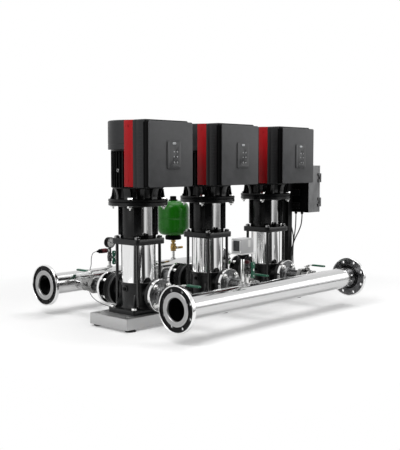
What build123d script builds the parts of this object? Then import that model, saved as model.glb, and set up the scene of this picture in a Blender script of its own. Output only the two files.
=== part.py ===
from build123d import *

import os
from math import cos, pi, radians, sin, sqrt, tan

# Booster pump set: three upright multistage pumps with converter motors stand on
# one folded sheet frame, between a suction header in front and a discharge header
# behind. Millimetres, +X along the headers, +Y from suction to discharge, +Z up.
# The origin is at the middle of the set's overall box, on the floor.

os.makedirs("parts", exist_ok=True)

UP = (Align.CENTER, Align.CENTER, Align.MIN)
DOWN = (Align.CENTER, Align.CENTER, Align.MAX)

# Driving sizes

# Row of pumps
PUMP_COUNT = 3
PUMP_PITCH = 520.0

# Heights of the parts that stand on each other, from the floor up
MACHINE_FOOT_HEIGHT = 12.0
FRAME_HEIGHT = 55.0
PORT_RISE = 96.0
CASTING_HEIGHT = 153.0
SLEEVE_LENGTH = 191.0
HEAD_HEIGHT = 29.0
STOOL_HEIGHT = 184.0
MOTOR_FLANGE_THICKNESS = 14.0
MOTOR_BODY_HEIGHT = 246.0
FAN_COVER_HEIGHT = 143.0

# Base frame of folded stainless sheet
FRAME_WIDTH = 280.0
FRAME_SHEET = 4.0
FRAME_LIP = 48.0
FRAME_CORNER = 6.0
FRAME_MARGIN = 1.5
LIFTING_HOLE_D = 22.0
LIFTING_HOLE_INSET = 34.0

# Machine feet
MACHINE_FOOT_D = 56.0
MACHINE_FOOT_WAIST_D = 40.0
MACHINE_FOOT_INSET = 44.0

# Cast pump base
PLATE_X = 248.0
PLATE_Y = 200.0
PLATE_THICKNESS = 24.0
PLATE_CORNER = 20.0
FOOT_BOLT_INSET = 22.0
CASTING_D = 178.0
CASTING_COLLAR_D = 188.0
CASTING_COLLAR = 12.0
PORT_TO_PORT = 300.0
PORT_NECK_D = 92.0
PORT_FLANGE_D = 165.0
PORT_FLANGE_THICKNESS = 20.0
PORT_BORE_D = 54.0
RISER_D = 70.0
GALLERY_D = 164.0
GALLERY_WALL_D = 92.0
GALLERY_DEPTH = 26.0

# Pump barrel
SLEEVE_D = 177.0
SLEEVE_WALL = 3.0
STAGE_COUNT = 2
BOWL_D = 152.0
BOWL_WALL = 3.0
BOWL_WEB = 5.0
BOWL_EYE_D = 44.0
IMPELLER_D = 124.0
IMPELLER_THICKNESS = 22.0
SHAFT_D = 28.0
SHAFT_CLEARANCE = 0.05

# Pump head and stay bolts
HEAD_SIDE = 200.0
HEAD_CORNER = 25.0
STAY_BOLT_OFFSET = 76.0
STAY_BOLT_D = 16.0
STAY_HOLE_D = 17.0
STAY_NUT_FLATS = 24.0
STAY_NUT_HEIGHT = 14.0
VENT_PLUG_D = 18.0
VENT_PLUG_HEIGHT = 28.0
VENT_PLUG_X = -24.0
VENT_PLUG_Y = -90.0
SEAL_D = 48.0
SEAL_HEIGHT = 20.0

# Motor stool, its windows and guards
STOOL_D = 202.0
STOOL_WALL = 21.0
STOOL_FLOOR = 16.0
STOOL_FLANGE_D = 300.0
STOOL_FLANGE = 18.0
STOOL_WINDOW = 108.0
STOOL_FLOOR_D = 164.0
STOOL_HOLE_D = 60.0
GUARD_SHEET = 1.5
GUARD_GAP = 0.2
GUARD_JOINT = 2.0
NUT_CLEARANCE = 2.5
COUPLING_D = 66.0
COUPLING_LENGTH = 96.0

# Motor
MOTOR_BELL_D = 232.0
MOTOR_BELL_TOP_D = 262.0
MOTOR_BELL_HEIGHT = 60.0
MOTOR_CORE_D = 248.0
MOTOR_FIN_D = 270.0
MOTOR_FIN_COUNT = 24
MOTOR_FIN_THICKNESS = 5.0
MOTOR_GUSSET_THICKNESS = 10.0
MOTOR_GUSSET_REACH = 140.0
MOTOR_INSIDE_D = 204.0
MOTOR_SHIELD = 14.0
MOTOR_SPIGOT = 8.0
MOTOR_PAD_X = 120.0
MOTOR_PAD_REACH = 110.0
MOTOR_PAD_HEIGHT = 160.0
MOTOR_PAD_DROP = 6.0
BEARING_D = 62.0
BEARING_WIDTH = 16.0
BEARING_LAND = 6.0
STATOR_BORE_D = 121.0
STATOR_LENGTH = 130.0
ROTOR_CORE_D = 120.0
ROTOR_CORE_LENGTH = 130.0
MOTOR_SHAFT_D = 30.0
MOTOR_BOLT_RADIUS = 133.0

# Fan and its cover
FAN_COVER_D = 298.0
FAN_COVER_WALL = 3.0
FAN_COVER_BEVEL = 10.0
FAN_SLOT_COUNT = 8
FAN_SLOT_WIDTH = 14.0
FAN_SLOT_INNER = 40.0
FAN_SLOT_OUTER = 112.0
FAN_D = 220.0
FAN_HUB_D = 60.0
FAN_BLADE_COUNT = 6
FAN_BLADE_HEIGHT = 40.0
FAN_BLADE_THICKNESS = 4.0
FAN_RISE = 24.0

# Converter on the motor's front
CONVERTER_WIDTH = 299.0
CONVERTER_BOTTOM_DROP = 2.5
CONVERTER_BACK = 63.0
BAND_DEPTH = 64.0
HOUSING_DEPTH = 82.0
COVER_DEPTH = 30.0
COVER_HEIGHT = 315.0
COVER_TOP_STEP = 8.0
COVER_RISE = 64.0
COVER_CORNER = 16.0
HOUSING_CORNER = 12.0
MOTOR_GAP = 1.0
PANEL_X = 15.0
PANEL_WIDTH = 94.0
PANEL_HEIGHT = 139.0
PANEL_RISE = 85.0
PANEL_THICKNESS = 6.0
PANEL_CORNER = 10.0
BUTTON_SIZE = 10.0
BUTTON_PROUD = 2.0
BUTTON_SEAT = 1.5
BUTTON_CLEARANCE = 0.3
BUTTON_TRAVEL = 0.8
BUTTON_COLUMN = 18.0
BUTTON_COLUMN_STEP = 20.0
BUTTON_LOW = 33.0
BUTTON_MIDDLE = 61.0
BUTTON_HIGH = 85.0

# Joints between pump ports and headers
COUNTER_FLANGE_THICKNESS = 18.0
BRANCH_D = 60.3
BRANCH_WALL = 3.0
BOLT_CIRCLE = 125.0
BOLT_FLATS = 24.0
BOLT_HEAD = 10.0
STUD_D = 16.0
CHECK_LENGTH = 66.0
CHECK_RIM = 36.0
CHECK_BARREL_D = 104.0
CHECK_CHAMBER_D = 76.0
CHECK_SEAT = 8.0
CHECK_PORT_D = 44.0
POPPET_D = 56.0
POPPET_THICKNESS = 6.0
POPPET_LIFT = 12.0
POPPET_STEM_D = 8.0
POPPET_STEM_LENGTH = 42.0
GUIDE_HEIGHT = 14.0
GUIDE_DEPTH = 8.0

# Ball valves
SUCTION_VALVE_REACH = 307.0
DISCHARGE_VALVE_REACH = 375.0
VALVE_BODY_D = 80.0
VALVE_BODY_LENGTH = 48.0
UNION_FLATS = 84.0
UNION_LENGTH = 24.0
VALVE_END_FLATS = 70.0
VALVE_END_LENGTH = 22.0
BONNET_D = 34.0
BONNET_TOP = 52.0
STEM_D = 14.0
PLUG_D = 58.0
PLUG_HEIGHT = 48.0
PLUG_BORE_D = 42.0
PLUG_CLEARANCE = 0.3
LEVER_WIDTH = 22.0
LEVER_SHEET = 4.0
LEVER_LENGTH = 122.0
LEVER_CRANK = 11.0
LEVER_HEEL = 16.0
LEVER_LIFT = 4.0
LEVER_GRIP = 9.0
LEVER_GRIP_START = 34.0

# Headers
SUCTION_REACH = 490.0
DISCHARGE_REACH = 533.0
HEADER_OVERHANG = 196.5
HEADER_JOINT = 150.0
SUCTION_SHIFT = -34.0
HEADER_D = 114.3
HEADER_WALL = 3.0
COLLAR_D = 158.0
COLLAR_THICKNESS = 6.0
LOOSE_FLANGE_D = 220.0
LOOSE_FLANGE_THICKNESS = 20.0
LOOSE_FLANGE_RIM = 6.0
LOOSE_FLANGE_GAP = 0.4
LOOSE_BOLT_CIRCLE = 180.0
LOOSE_BOLT_COUNT = 8
LOOSE_BOLT_HOLE_D = 18.0
SOCKET_D = 30.0
SOCKET_PROUD = 6.0

# Diaphragm tank on the discharge header
TANK_X = 268.0
TANK_D = 198.0
TANK_HEIGHT = 213.0
TANK_DOME = 62.0
TANK_DOME_BANDS = 5
TANK_RISE = 120.0
TANK_FLANGE_D = 100.0
TANK_FLANGE_HEIGHT = 31.0
TANK_CAP_D = 56.0
TANK_CAP_HEIGHT = 28.0
TANK_VALVE_D = 36.0
TANK_HANDLE_LENGTH = 56.0

# Gauge stand on the discharge header
GAUGE_X = -254.0
STAND_D = 18.0
GAUGE_RISE = 140.0
GAUGE_D = 62.0
GAUGE_DEPTH = 30.0
GAUGE_GLASS = 2.0
SENSOR_RISE = 95.0
SENSOR_D = 27.0
SENSOR_LENGTH = 85.0
SENSOR_NUT_FLATS = 22.0
SENSOR_NUT_LENGTH = 18.0
WING_RISE = 56.0

# Pressure switch and vent valve on the suction header
SWITCH_X = -283.0
SWITCH_RISE = 156.0
SWITCH_X_SIZE = 94.0
SWITCH_Y_SIZE = 67.0
SWITCH_HEIGHT = 70.0
SWITCH_BASE = 6.0
SWITCH_BASE_PROUD = 3.0
SWITCH_CONE = 26.0
SWITCH_CONE_D = 52.0
VENT_X = -249.0
VENT_WING_RISE = 77.0
VENT_CAP_D = 26.0
VENT_CAP_HEIGHT = 22.0

# Small valves that a wing handle turns
WING_BODY_D = 28.0
WING_BODY_HEIGHT = 46.0
WING_STEM_D = 9.0
WING_NECK_D = 16.0
WING_NECK = 18.0
WING_GAP = 1.5
WING_THICKNESS = 9.0
WING_LENGTH = 80.0
WING_WIDTH = 26.0
WING_WAIST = 14.0

# Control cabinet on its post
POST_GAP = 10.0
POST_Y = -25.0
POST_X_SIZE = 40.0
POST_Y_SIZE = 50.0
POST_HEIGHT = 690.0
POST_WALL = 3.0
POST_FOOT_X = 50.0
POST_FOOT_Y = 100.0
POST_FOOT = 8.0
BRACKET = 15.0
BRACKET_HEIGHT = 120.0
BRACKET_DROP = 40.0
CABINET_Y = -10.0
CABINET_DEPTH = 104.0
CABINET_WIDTH = 300.0
CABINET_HEIGHT = 285.0
CABINET_LIFT = 450.0
CABINET_SHEET = 3.0
CABINET_LIP = 14.0
DOOR_GAP = 0.4
DOOR_THICKNESS = 15.0
DOOR_SHEET = 2.0
HINGE_D = 12.0
HINGE_PIN_D = 6.0
HINGE_HEIGHT = 18.0
HINGE_OUT = 8.0
HINGE_GAP = 0.3
HINGE_RISES = (61.0, 210.0)
LOCK_D = 22.0
LOCK_PROUD = 5.0
GLAND_FLATS = 17.0
GLAND_LENGTH = 14.0
GLAND_X = 35.0
GLAND_YS = (-88.0, -42.0, 3.0)
GROMMET_XS = (-10.0, 3.5, 17.0)
GROMMET_Y = -64.0
GROMMET_D = 13.0
GROMMET_HEIGHT = 5.0
CABLE_D = 7.0
SENSOR_CABLE_D = 4.0
SENSOR_GLAND_X = -418.0
SENSOR_GLAND_Z = 42.0

# Places that follow from the sizes

FRAME_TOP = MACHINE_FOOT_HEIGHT + FRAME_HEIGHT
PORT_Z = FRAME_TOP + PORT_RISE
PLATE_TOP = FRAME_TOP + PLATE_THICKNESS
CASTING_TOP = FRAME_TOP + CASTING_HEIGHT
SLEEVE_TOP = CASTING_TOP + SLEEVE_LENGTH
HEAD_TOP = SLEEVE_TOP + HEAD_HEIGHT
STOOL_TOP = HEAD_TOP + STOOL_HEIGHT
MOTOR_BODY_Z = STOOL_TOP + MOTOR_FLANGE_THICKNESS
COVER_Z = MOTOR_BODY_Z + MOTOR_BODY_HEIGHT
TOP_Z = COVER_Z + FAN_COVER_HEIGHT
HEADER_TOP = PORT_Z + HEADER_D / 2
PORT_FACE = PORT_TO_PORT / 2

ROW_LENGTH = (PUMP_COUNT - 1) * PUMP_PITCH
HEADER_LENGTH = ROW_LENGTH + 2 * HEADER_OVERHANG
POST_X = ROW_LENGTH / 2 + STOOL_FLANGE_D / 2 + POST_GAP + POST_X_SIZE / 2
FRAME_LENGTH = 2 * (POST_X + POST_FOOT_X / 2 + FRAME_MARGIN)

ROW_LEFT = SUCTION_SHIFT - HEADER_LENGTH / 2
CABINET_BACK = POST_X + POST_X_SIZE / 2 + BRACKET
DOOR_BACK = CABINET_BACK + CABINET_DEPTH + DOOR_GAP
DOOR_FRONT = DOOR_BACK + DOOR_THICKNESS
ROW_RIGHT = DOOR_FRONT + LOCK_PROUD
MIDDLE_X = -(ROW_LEFT + ROW_RIGHT) / 2
ROW_Y = (SUCTION_REACH - DISCHARGE_REACH) / 2
SUCTION_Y = ROW_Y - SUCTION_REACH
DISCHARGE_Y = ROW_Y + DISCHARGE_REACH
PUMP_XS = [MIDDLE_X + PUMP_PITCH * (i - (PUMP_COUNT - 1) / 2) for i in range(PUMP_COUNT)]
PUMP_SPOTS = [(x, ROW_Y, 0) for x in PUMP_XS]


def save(label, *pieces):
    """Write the pieces of one node as separate solids."""
    if len(pieces) == 1:
        node = pieces[0]
    else:
        node = Compound(children=list(pieces))
    node.label = label
    export_step(node, f"parts/{label}.step")


def at_each_pump(piece):
    """Copy one pump's piece, made about the pump's axis, to every pump of the row."""
    with BuildPart() as row:
        with Locations(*PUMP_SPOTS):
            add(piece)
    return row.part


def square_spots(offset, z):
    return [(x, y, z) for x in (-offset, offset) for y in (-offset, offset)]


def along(x, y, z, direction):
    """A plane whose Z runs the given way from a point."""
    return Plane(origin=(x, y, z), z_dir=direction)


def facing_front(x, y, z):
    """An upright sketch plane seen from the front: its X is right and its Y is up."""
    return Plane(origin=(x, y, z), x_dir=(1, 0, 0), z_dir=(0, -1, 0))


def bolt_ring(y, direction):
    """Four places on the port's bolt circle, 45 degrees off the upright."""
    reach = BOLT_CIRCLE / 2 * sin(pi / 4)
    return [
        along(x, y, PORT_Z + z, direction)
        for x in (-reach, reach)
        for z in (-reach, reach)
    ]


# Base frame: a tray of folded sheet, open below inside a return lip
with BuildPart() as base_frame:
    with Locations((MIDDLE_X, ROW_Y, MACHINE_FOOT_HEIGHT)):
        Box(FRAME_LENGTH, FRAME_WIDTH, FRAME_HEIGHT, align=UP)
    fillet(base_frame.edges().filter_by(Axis.Z), FRAME_CORNER)
    with Locations((MIDDLE_X, ROW_Y, MACHINE_FOOT_HEIGHT + FRAME_SHEET)):
        Box(
            FRAME_LENGTH - 2 * FRAME_SHEET,
            FRAME_WIDTH - 2 * FRAME_SHEET,
            FRAME_HEIGHT - 2 * FRAME_SHEET,
            align=UP,
            mode=Mode.SUBTRACT,
        )
    with Locations((MIDDLE_X, ROW_Y, MACHINE_FOOT_HEIGHT)):
        Box(
            FRAME_LENGTH - 2 * FRAME_LIP,
            FRAME_WIDTH - 2 * FRAME_LIP,
            FRAME_SHEET,
            align=UP,
            mode=Mode.SUBTRACT,
        )
    with Locations((MIDDLE_X, ROW_Y, FRAME_TOP)):
        with GridLocations(
            FRAME_LENGTH - 2 * LIFTING_HOLE_INSET,
            FRAME_WIDTH - 2 * LIFTING_HOLE_INSET,
            2,
            2,
        ):
            Cylinder(LIFTING_HOLE_D / 2, FRAME_SHEET, align=DOWN, mode=Mode.SUBTRACT)
save("base_frame", base_frame.part)

# Machine feet: waisted rubber buffers under the return lip
with BuildPart() as machine_feet:
    with Locations((MIDDLE_X, ROW_Y, 0)):
        with GridLocations(
            (FRAME_LENGTH - 2 * MACHINE_FOOT_INSET) / 2,
            FRAME_WIDTH - FRAME_LIP,
            3,
            2,
        ):
            Cone(
                MACHINE_FOOT_D / 2,
                MACHINE_FOOT_WAIST_D / 2,
                MACHINE_FOOT_HEIGHT,
                align=UP,
            )
save("machine_feet", machine_feet.part)

# Pump base: foot plate, body and inline ports in one casting
with BuildPart() as one_base:
    with BuildSketch(Plane.XY.offset(FRAME_TOP)):
        RectangleRounded(PLATE_X, PLATE_Y, PLATE_CORNER)
    extrude(amount=PLATE_THICKNESS)
    with Locations((0, 0, PLATE_TOP)):
        Cylinder(CASTING_D / 2, CASTING_TOP - PLATE_TOP, align=UP)
    with Locations((0, 0, CASTING_TOP)):
        Cylinder(CASTING_COLLAR_D / 2, CASTING_COLLAR, align=DOWN)
    with Locations(Plane(origin=(0, 0, PORT_Z), z_dir=(0, 1, 0))):
        Cylinder(PORT_NECK_D / 2, PORT_TO_PORT)
    for side in (-1, 1):
        with Locations(along(0, side * PORT_FACE, PORT_Z, (0, -side, 0))):
            Cylinder(PORT_FLANGE_D / 2, PORT_FLANGE_THICKNESS, align=UP)
    with Locations(along(0, -PORT_FACE, PORT_Z, (0, 1, 0))):
        Cylinder(PORT_BORE_D / 2, PORT_FACE, align=UP, mode=Mode.SUBTRACT)
    with Locations((0, 0, PORT_Z)):
        Cylinder(PORT_BORE_D / 2, CASTING_TOP - PORT_Z, align=UP, mode=Mode.SUBTRACT)
    with BuildSketch(Plane.XY.offset(CASTING_TOP)):
        Circle(GALLERY_D / 2)
        Circle(GALLERY_WALL_D / 2, mode=Mode.SUBTRACT)
    extrude(amount=-GALLERY_DEPTH, mode=Mode.SUBTRACT)
    with Locations(along(0, PORT_FACE, PORT_Z, (0, -1, 0))):
        Cylinder(
            PORT_BORE_D / 2,
            PORT_FACE - GALLERY_WALL_D / 2,
            align=UP,
            mode=Mode.SUBTRACT,
        )
    with Locations((0, (GALLERY_D + GALLERY_WALL_D) / 4, PORT_Z)):
        Box(
            PORT_BORE_D / 2,
            (GALLERY_D - GALLERY_WALL_D) / 2,
            CASTING_TOP - PORT_Z - GALLERY_DEPTH,
            align=UP,
            mode=Mode.SUBTRACT,
        )
save("pump_bases", at_each_pump(one_base.part))

# Outer sleeves: polished tubes between base and head
with BuildPart() as one_sleeve:
    with BuildSketch(Plane.XY.offset(CASTING_TOP)):
        Circle(SLEEVE_D / 2)
        Circle(SLEEVE_D / 2 - SLEEVE_WALL, mode=Mode.SUBTRACT)
    extrude(amount=SLEEVE_LENGTH)
save("outer_sleeves", at_each_pump(one_sleeve.part))

# Stage bowls: cups with an eye in the web, stacked from base to head
STAGE_HEIGHT = SLEEVE_LENGTH / STAGE_COUNT
stages = []
for stage in range(STAGE_COUNT):
    with BuildPart() as bowl:
        with Locations((0, 0, CASTING_TOP + stage * STAGE_HEIGHT)):
            Cylinder(BOWL_D / 2, STAGE_HEIGHT, align=UP)
            Cylinder(BOWL_EYE_D / 2, BOWL_WEB, align=UP, mode=Mode.SUBTRACT)
        with Locations((0, 0, CASTING_TOP + stage * STAGE_HEIGHT + BOWL_WEB)):
            Cylinder(
                BOWL_D / 2 - BOWL_WALL,
                STAGE_HEIGHT - BOWL_WEB,
                align=UP,
                mode=Mode.SUBTRACT,
            )
    stages.append(at_each_pump(bowl.part))

# Shaft seals: stationary rings under the head, around the shaft
with BuildPart() as one_seal:
    with BuildSketch(Plane.XY.offset(SLEEVE_TOP)):
        Circle(SEAL_D / 2)
        Circle(SHAFT_D / 2 + SHAFT_CLEARANCE, mode=Mode.SUBTRACT)
    extrude(amount=-SEAL_HEIGHT)
save("chamber_stacks", *stages, at_each_pump(one_seal.part))

# Pump heads: square cast covers, with the black vent plug on top
with BuildPart() as one_head:
    with BuildSketch(Plane.XY.offset(SLEEVE_TOP)):
        RectangleRounded(HEAD_SIDE, HEAD_SIDE, HEAD_CORNER)
        Circle(SHAFT_D / 2 + 1, mode=Mode.SUBTRACT)
        with Locations(*square_spots(STAY_BOLT_OFFSET, 0)):
            Circle(STAY_HOLE_D / 2, mode=Mode.SUBTRACT)
    extrude(amount=HEAD_HEIGHT)
with BuildPart() as one_vent_plug:
    with Locations((VENT_PLUG_X, VENT_PLUG_Y, HEAD_TOP)):
        Cylinder(VENT_PLUG_D / 2, VENT_PLUG_HEIGHT, align=UP)
save("pump_heads", at_each_pump(one_head.part), at_each_pump(one_vent_plug.part))

# Stay bolts from the foot plate through the head, with their nuts
with BuildPart() as one_stay_set:
    with Locations(*square_spots(STAY_BOLT_OFFSET, PLATE_TOP)):
        Cylinder(STAY_BOLT_D / 2, HEAD_TOP - PLATE_TOP, align=UP)
    with BuildSketch(Plane.XY.offset(HEAD_TOP)):
        with Locations(*square_spots(STAY_BOLT_OFFSET, 0)):
            RegularPolygon(STAY_NUT_FLATS / 2, 6, major_radius=False)
    extrude(amount=STAY_NUT_HEIGHT)
save("stay_bolts", at_each_pump(one_stay_set.part))

# Motor stools: four columns, stepped back beside the nuts, between a floor and a flange
with BuildPart() as one_stool:
    with Locations((0, 0, HEAD_TOP)):
        Cylinder(STOOL_D / 2, STOOL_HEIGHT, align=UP)
    with Locations((0, 0, STOOL_TOP)):
        Cylinder(STOOL_FLANGE_D / 2, STOOL_FLANGE, align=DOWN)
    with Locations((0, 0, HEAD_TOP)):
        Cylinder(STOOL_D / 2 - STOOL_WALL, STOOL_HEIGHT, align=UP, mode=Mode.SUBTRACT)
        WINDOW_HEIGHT = STOOL_HEIGHT - STOOL_FLANGE
        Box(STOOL_D, STOOL_WINDOW, WINDOW_HEIGHT, align=UP, mode=Mode.SUBTRACT)
        Box(STOOL_WINDOW, STOOL_D, WINDOW_HEIGHT, align=UP, mode=Mode.SUBTRACT)
    with Locations((0, 0, HEAD_TOP)):
        Cylinder(STOOL_FLOOR_D / 2, STOOL_FLOOR, align=UP)
        Cylinder(STOOL_HOLE_D / 2, STOOL_FLOOR, align=UP, mode=Mode.SUBTRACT)
    with BuildSketch(Plane.XY.offset(HEAD_TOP)):
        Circle(STOOL_D / 2)
        Circle(
            STAY_BOLT_OFFSET * sqrt(2) - STAY_NUT_FLATS / sqrt(3) - NUT_CLEARANCE,
            mode=Mode.SUBTRACT,
        )
    extrude(amount=STAY_NUT_HEIGHT + NUT_CLEARANCE, mode=Mode.SUBTRACT)
save("motor_stools", at_each_pump(one_stool.part))

# Coupling guards: a curved stainless sheet inside each window, between two columns
GUARD_D = STOOL_D - 2 * STOOL_WALL - 2 * GUARD_GAP
with BuildPart() as one_guard_set:
    with BuildSketch(Plane.XY.offset(HEAD_TOP + STOOL_FLOOR)):
        Circle(GUARD_D / 2)
        Circle(GUARD_D / 2 - GUARD_SHEET, mode=Mode.SUBTRACT)
        with PolarLocations(0, 2, start_angle=45):
            Rectangle(GUARD_D, GUARD_JOINT, mode=Mode.SUBTRACT)
    extrude(amount=STOOL_HEIGHT - STOOL_FLANGE - STOOL_FLOOR)
save("coupling_guards", at_each_pump(one_guard_set.part))

# Motor housings: flange, gusseted bell, finned body, spigot for the fan cover and pad
# for the converter, open inside for the stator
SHIELD_Z = COVER_Z - MOTOR_SHIELD
with BuildPart() as one_motor:
    with Locations((0, 0, STOOL_TOP)):
        Cylinder(STOOL_FLANGE_D / 2, MOTOR_FLANGE_THICKNESS, align=UP)
    with Locations((0, 0, MOTOR_BODY_Z)):
        Cone(MOTOR_BELL_D / 2, MOTOR_BELL_TOP_D / 2, MOTOR_BELL_HEIGHT, align=UP)
    with Locations((0, 0, MOTOR_BODY_Z + MOTOR_BELL_HEIGHT)):
        Cylinder(MOTOR_CORE_D / 2, MOTOR_BODY_HEIGHT - MOTOR_BELL_HEIGHT, align=UP)
        with PolarLocations(0, MOTOR_FIN_COUNT // 2):
            Box(
                MOTOR_FIN_D,
                MOTOR_FIN_THICKNESS,
                MOTOR_BODY_HEIGHT - MOTOR_BELL_HEIGHT,
                align=UP,
            )
    for turn in (45, 135):
        with BuildSketch(Plane.XZ.rotated((0, 0, turn))):
            with BuildLine():
                Polyline(
                    (-MOTOR_GUSSET_REACH, MOTOR_BODY_Z),
                    (MOTOR_GUSSET_REACH, MOTOR_BODY_Z),
                    (MOTOR_BELL_TOP_D / 2 - 2, MOTOR_BODY_Z + MOTOR_BELL_HEIGHT / 2),
                    (2 - MOTOR_BELL_TOP_D / 2, MOTOR_BODY_Z + MOTOR_BELL_HEIGHT / 2),
                    close=True,
                )
            make_face()
        extrude(amount=MOTOR_GUSSET_THICKNESS / 2, both=True)
    with Locations((0, 0, COVER_Z)):
        Cylinder(FAN_COVER_D / 2 - FAN_COVER_WALL, MOTOR_SPIGOT, align=UP)
    with BuildSketch(Plane.XY.offset(COVER_Z - MOTOR_PAD_DROP)):
        Circle(FAN_COVER_D / 2 + MOTOR_GAP)
        with Locations((0, -MOTOR_PAD_REACH)):
            Rectangle(
                MOTOR_PAD_X,
                FAN_COVER_D,
                align=(Align.CENTER, Align.MAX),
                mode=Mode.INTERSECT,
            )
    extrude(amount=-MOTOR_PAD_HEIGHT)
    with Locations((0, 0, MOTOR_BODY_Z)):
        Cylinder(
            MOTOR_INSIDE_D / 2,
            MOTOR_BODY_HEIGHT - MOTOR_SHIELD,
            align=UP,
            mode=Mode.SUBTRACT,
        )
    with Locations((0, 0, STOOL_TOP)):
        Cylinder(
            BEARING_D / 2,
            COVER_Z + MOTOR_SPIGOT - STOOL_TOP,
            align=UP,
            mode=Mode.SUBTRACT,
        )

# Stators fill the housing; bearings sit in the flange and in the top shield
STATOR_Z = MOTOR_BODY_Z + MOTOR_BELL_HEIGHT
with BuildPart() as one_stator:
    with BuildSketch(Plane.XY.offset(STATOR_Z)):
        Circle(MOTOR_INSIDE_D / 2)
        Circle(STATOR_BORE_D / 2, mode=Mode.SUBTRACT)
    extrude(amount=STATOR_LENGTH)
with BuildPart() as one_bearing_pair:
    for bottom in (STOOL_TOP, SHIELD_Z):
        with BuildSketch(Plane.XY.offset(bottom)):
            Circle(BEARING_D / 2)
            Circle(MOTOR_SHAFT_D / 2 + SHAFT_CLEARANCE, mode=Mode.SUBTRACT)
        extrude(amount=MOTOR_SHIELD)
save(
    "motor_housings",
    at_each_pump(one_motor.part),
    at_each_pump(one_stator.part),
    at_each_pump(one_bearing_pair.part),
)

# Fan covers: bevelled steel hoods with a slotted top
with BuildPart() as one_fan_cover:
    with Locations((0, 0, COVER_Z)):
        Cylinder(FAN_COVER_D / 2, FAN_COVER_HEIGHT, align=UP)
    chamfer(one_fan_cover.edges().group_by(Axis.Z)[-1], FAN_COVER_BEVEL)
    with Locations((0, 0, COVER_Z)):
        Cylinder(
            FAN_COVER_D / 2 - FAN_COVER_WALL,
            FAN_COVER_HEIGHT - FAN_COVER_BEVEL,
            align=UP,
            mode=Mode.SUBTRACT,
        )
    with Locations((0, 0, TOP_Z)):
        with PolarLocations((FAN_SLOT_INNER + FAN_SLOT_OUTER) / 2, FAN_SLOT_COUNT):
            Box(
                FAN_SLOT_OUTER - FAN_SLOT_INNER,
                FAN_SLOT_WIDTH,
                2 * FAN_COVER_BEVEL,
                mode=Mode.SUBTRACT,
            )
save("fan_covers", at_each_pump(one_fan_cover.part))

# Rotating parts of each pump: pump shaft with its impellers, coupling, motor shaft
# with its core, and fan
COUPLING_Z = HEAD_TOP + STOOL_FLOOR + (STOOL_HEIGHT - STOOL_FLOOR - COUPLING_LENGTH) / 2
SHAFT_JOINT_Z = COUPLING_Z + COUPLING_LENGTH / 2
FAN_Z = COVER_Z + FAN_RISE
with BuildPart() as pump_shaft:
    with Locations((0, 0, CASTING_TOP)):
        Cylinder(SHAFT_D / 2, SHAFT_JOINT_Z - CASTING_TOP, align=UP)
    for stage in range(STAGE_COUNT):
        with Locations((0, 0, CASTING_TOP + (stage + 0.5) * STAGE_HEIGHT)):
            Cylinder(IMPELLER_D / 2, IMPELLER_THICKNESS)
with BuildPart() as motor_shaft:
    with Locations((0, 0, SHAFT_JOINT_Z)):
        Cylinder(MOTOR_SHAFT_D / 2, FAN_Z + FAN_BLADE_HEIGHT - SHAFT_JOINT_Z, align=UP)
    with Locations((0, 0, STATOR_Z + (STATOR_LENGTH - ROTOR_CORE_LENGTH) / 2)):
        Cylinder(ROTOR_CORE_D / 2, ROTOR_CORE_LENGTH, align=UP)
with BuildPart() as coupling_halves:
    with Locations((0, 0, COUPLING_Z)):
        Cylinder(COUPLING_D / 2, COUPLING_LENGTH, align=UP)
        Cylinder(SHAFT_D / 2, COUPLING_LENGTH / 2, align=UP, mode=Mode.SUBTRACT)
    with Locations((0, 0, SHAFT_JOINT_Z)):
        Cylinder(MOTOR_SHAFT_D / 2, COUPLING_LENGTH / 2, align=UP, mode=Mode.SUBTRACT)
with BuildPart() as fan:
    with Locations((0, 0, FAN_Z)):
        with PolarLocations(0, FAN_BLADE_COUNT // 2):
            Box(FAN_D, FAN_BLADE_THICKNESS, FAN_BLADE_HEIGHT, align=UP)
        Cylinder(FAN_HUB_D / 2, FAN_BLADE_HEIGHT, align=UP)
        Cylinder(MOTOR_SHAFT_D / 2, FAN_BLADE_HEIGHT, align=UP, mode=Mode.SUBTRACT)
for number, spot in enumerate(PUMP_SPOTS, 1):
    turning = (pump_shaft, coupling_halves, motor_shaft, fan)
    pieces = [piece.part.moved(Location(spot)) for piece in turning]
    save(f"rotor_{number}", *pieces)

# Converter: red band against the motor, housing, front cover and control panel
COVER_BOTTOM = MOTOR_BODY_Z + COVER_RISE
COVER_TOP = COVER_BOTTOM + COVER_HEIGHT
BAND_FRONT = -(CONVERTER_BACK + BAND_DEPTH)
HOUSING_FRONT = BAND_FRONT - HOUSING_DEPTH
COVER_FRONT = HOUSING_FRONT - COVER_DEPTH
HOUSING_BOTTOM = COVER_BOTTOM - CONVERTER_BOTTOM_DROP
HOUSING_HEIGHT = COVER_HEIGHT + CONVERTER_BOTTOM_DROP + COVER_TOP_STEP


def cut_motor_out():
    """Hollow a converter piece to stand clear of the motor and its fan cover."""
    with Locations((0, 0, HOUSING_BOTTOM)):
        Cylinder(FAN_COVER_D / 2 + MOTOR_GAP, HOUSING_HEIGHT, align=UP, mode=Mode.SUBTRACT)


with BuildPart() as one_band:
    with Locations((0, (BAND_FRONT - CONVERTER_BACK) / 2, COVER_BOTTOM)):
        Box(CONVERTER_WIDTH, BAND_DEPTH, COVER_HEIGHT, align=UP)
    cut_motor_out()
save("side_bands", at_each_pump(one_band.part))

with BuildPart() as one_housing:
    with BuildSketch(Plane.XY.offset(HOUSING_BOTTOM)):
        with Locations((0, (HOUSING_FRONT + BAND_FRONT) / 2)):
            Rectangle(CONVERTER_WIDTH, HOUSING_DEPTH)
    extrude(amount=HOUSING_HEIGHT)
    top_edges = one_housing.edges().filter_by(Axis.Y).group_by(Axis.Z)[-1]
    fillet(top_edges, HOUSING_CORNER)
    cut_motor_out()
save("converter_housings", at_each_pump(one_housing.part))

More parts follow.
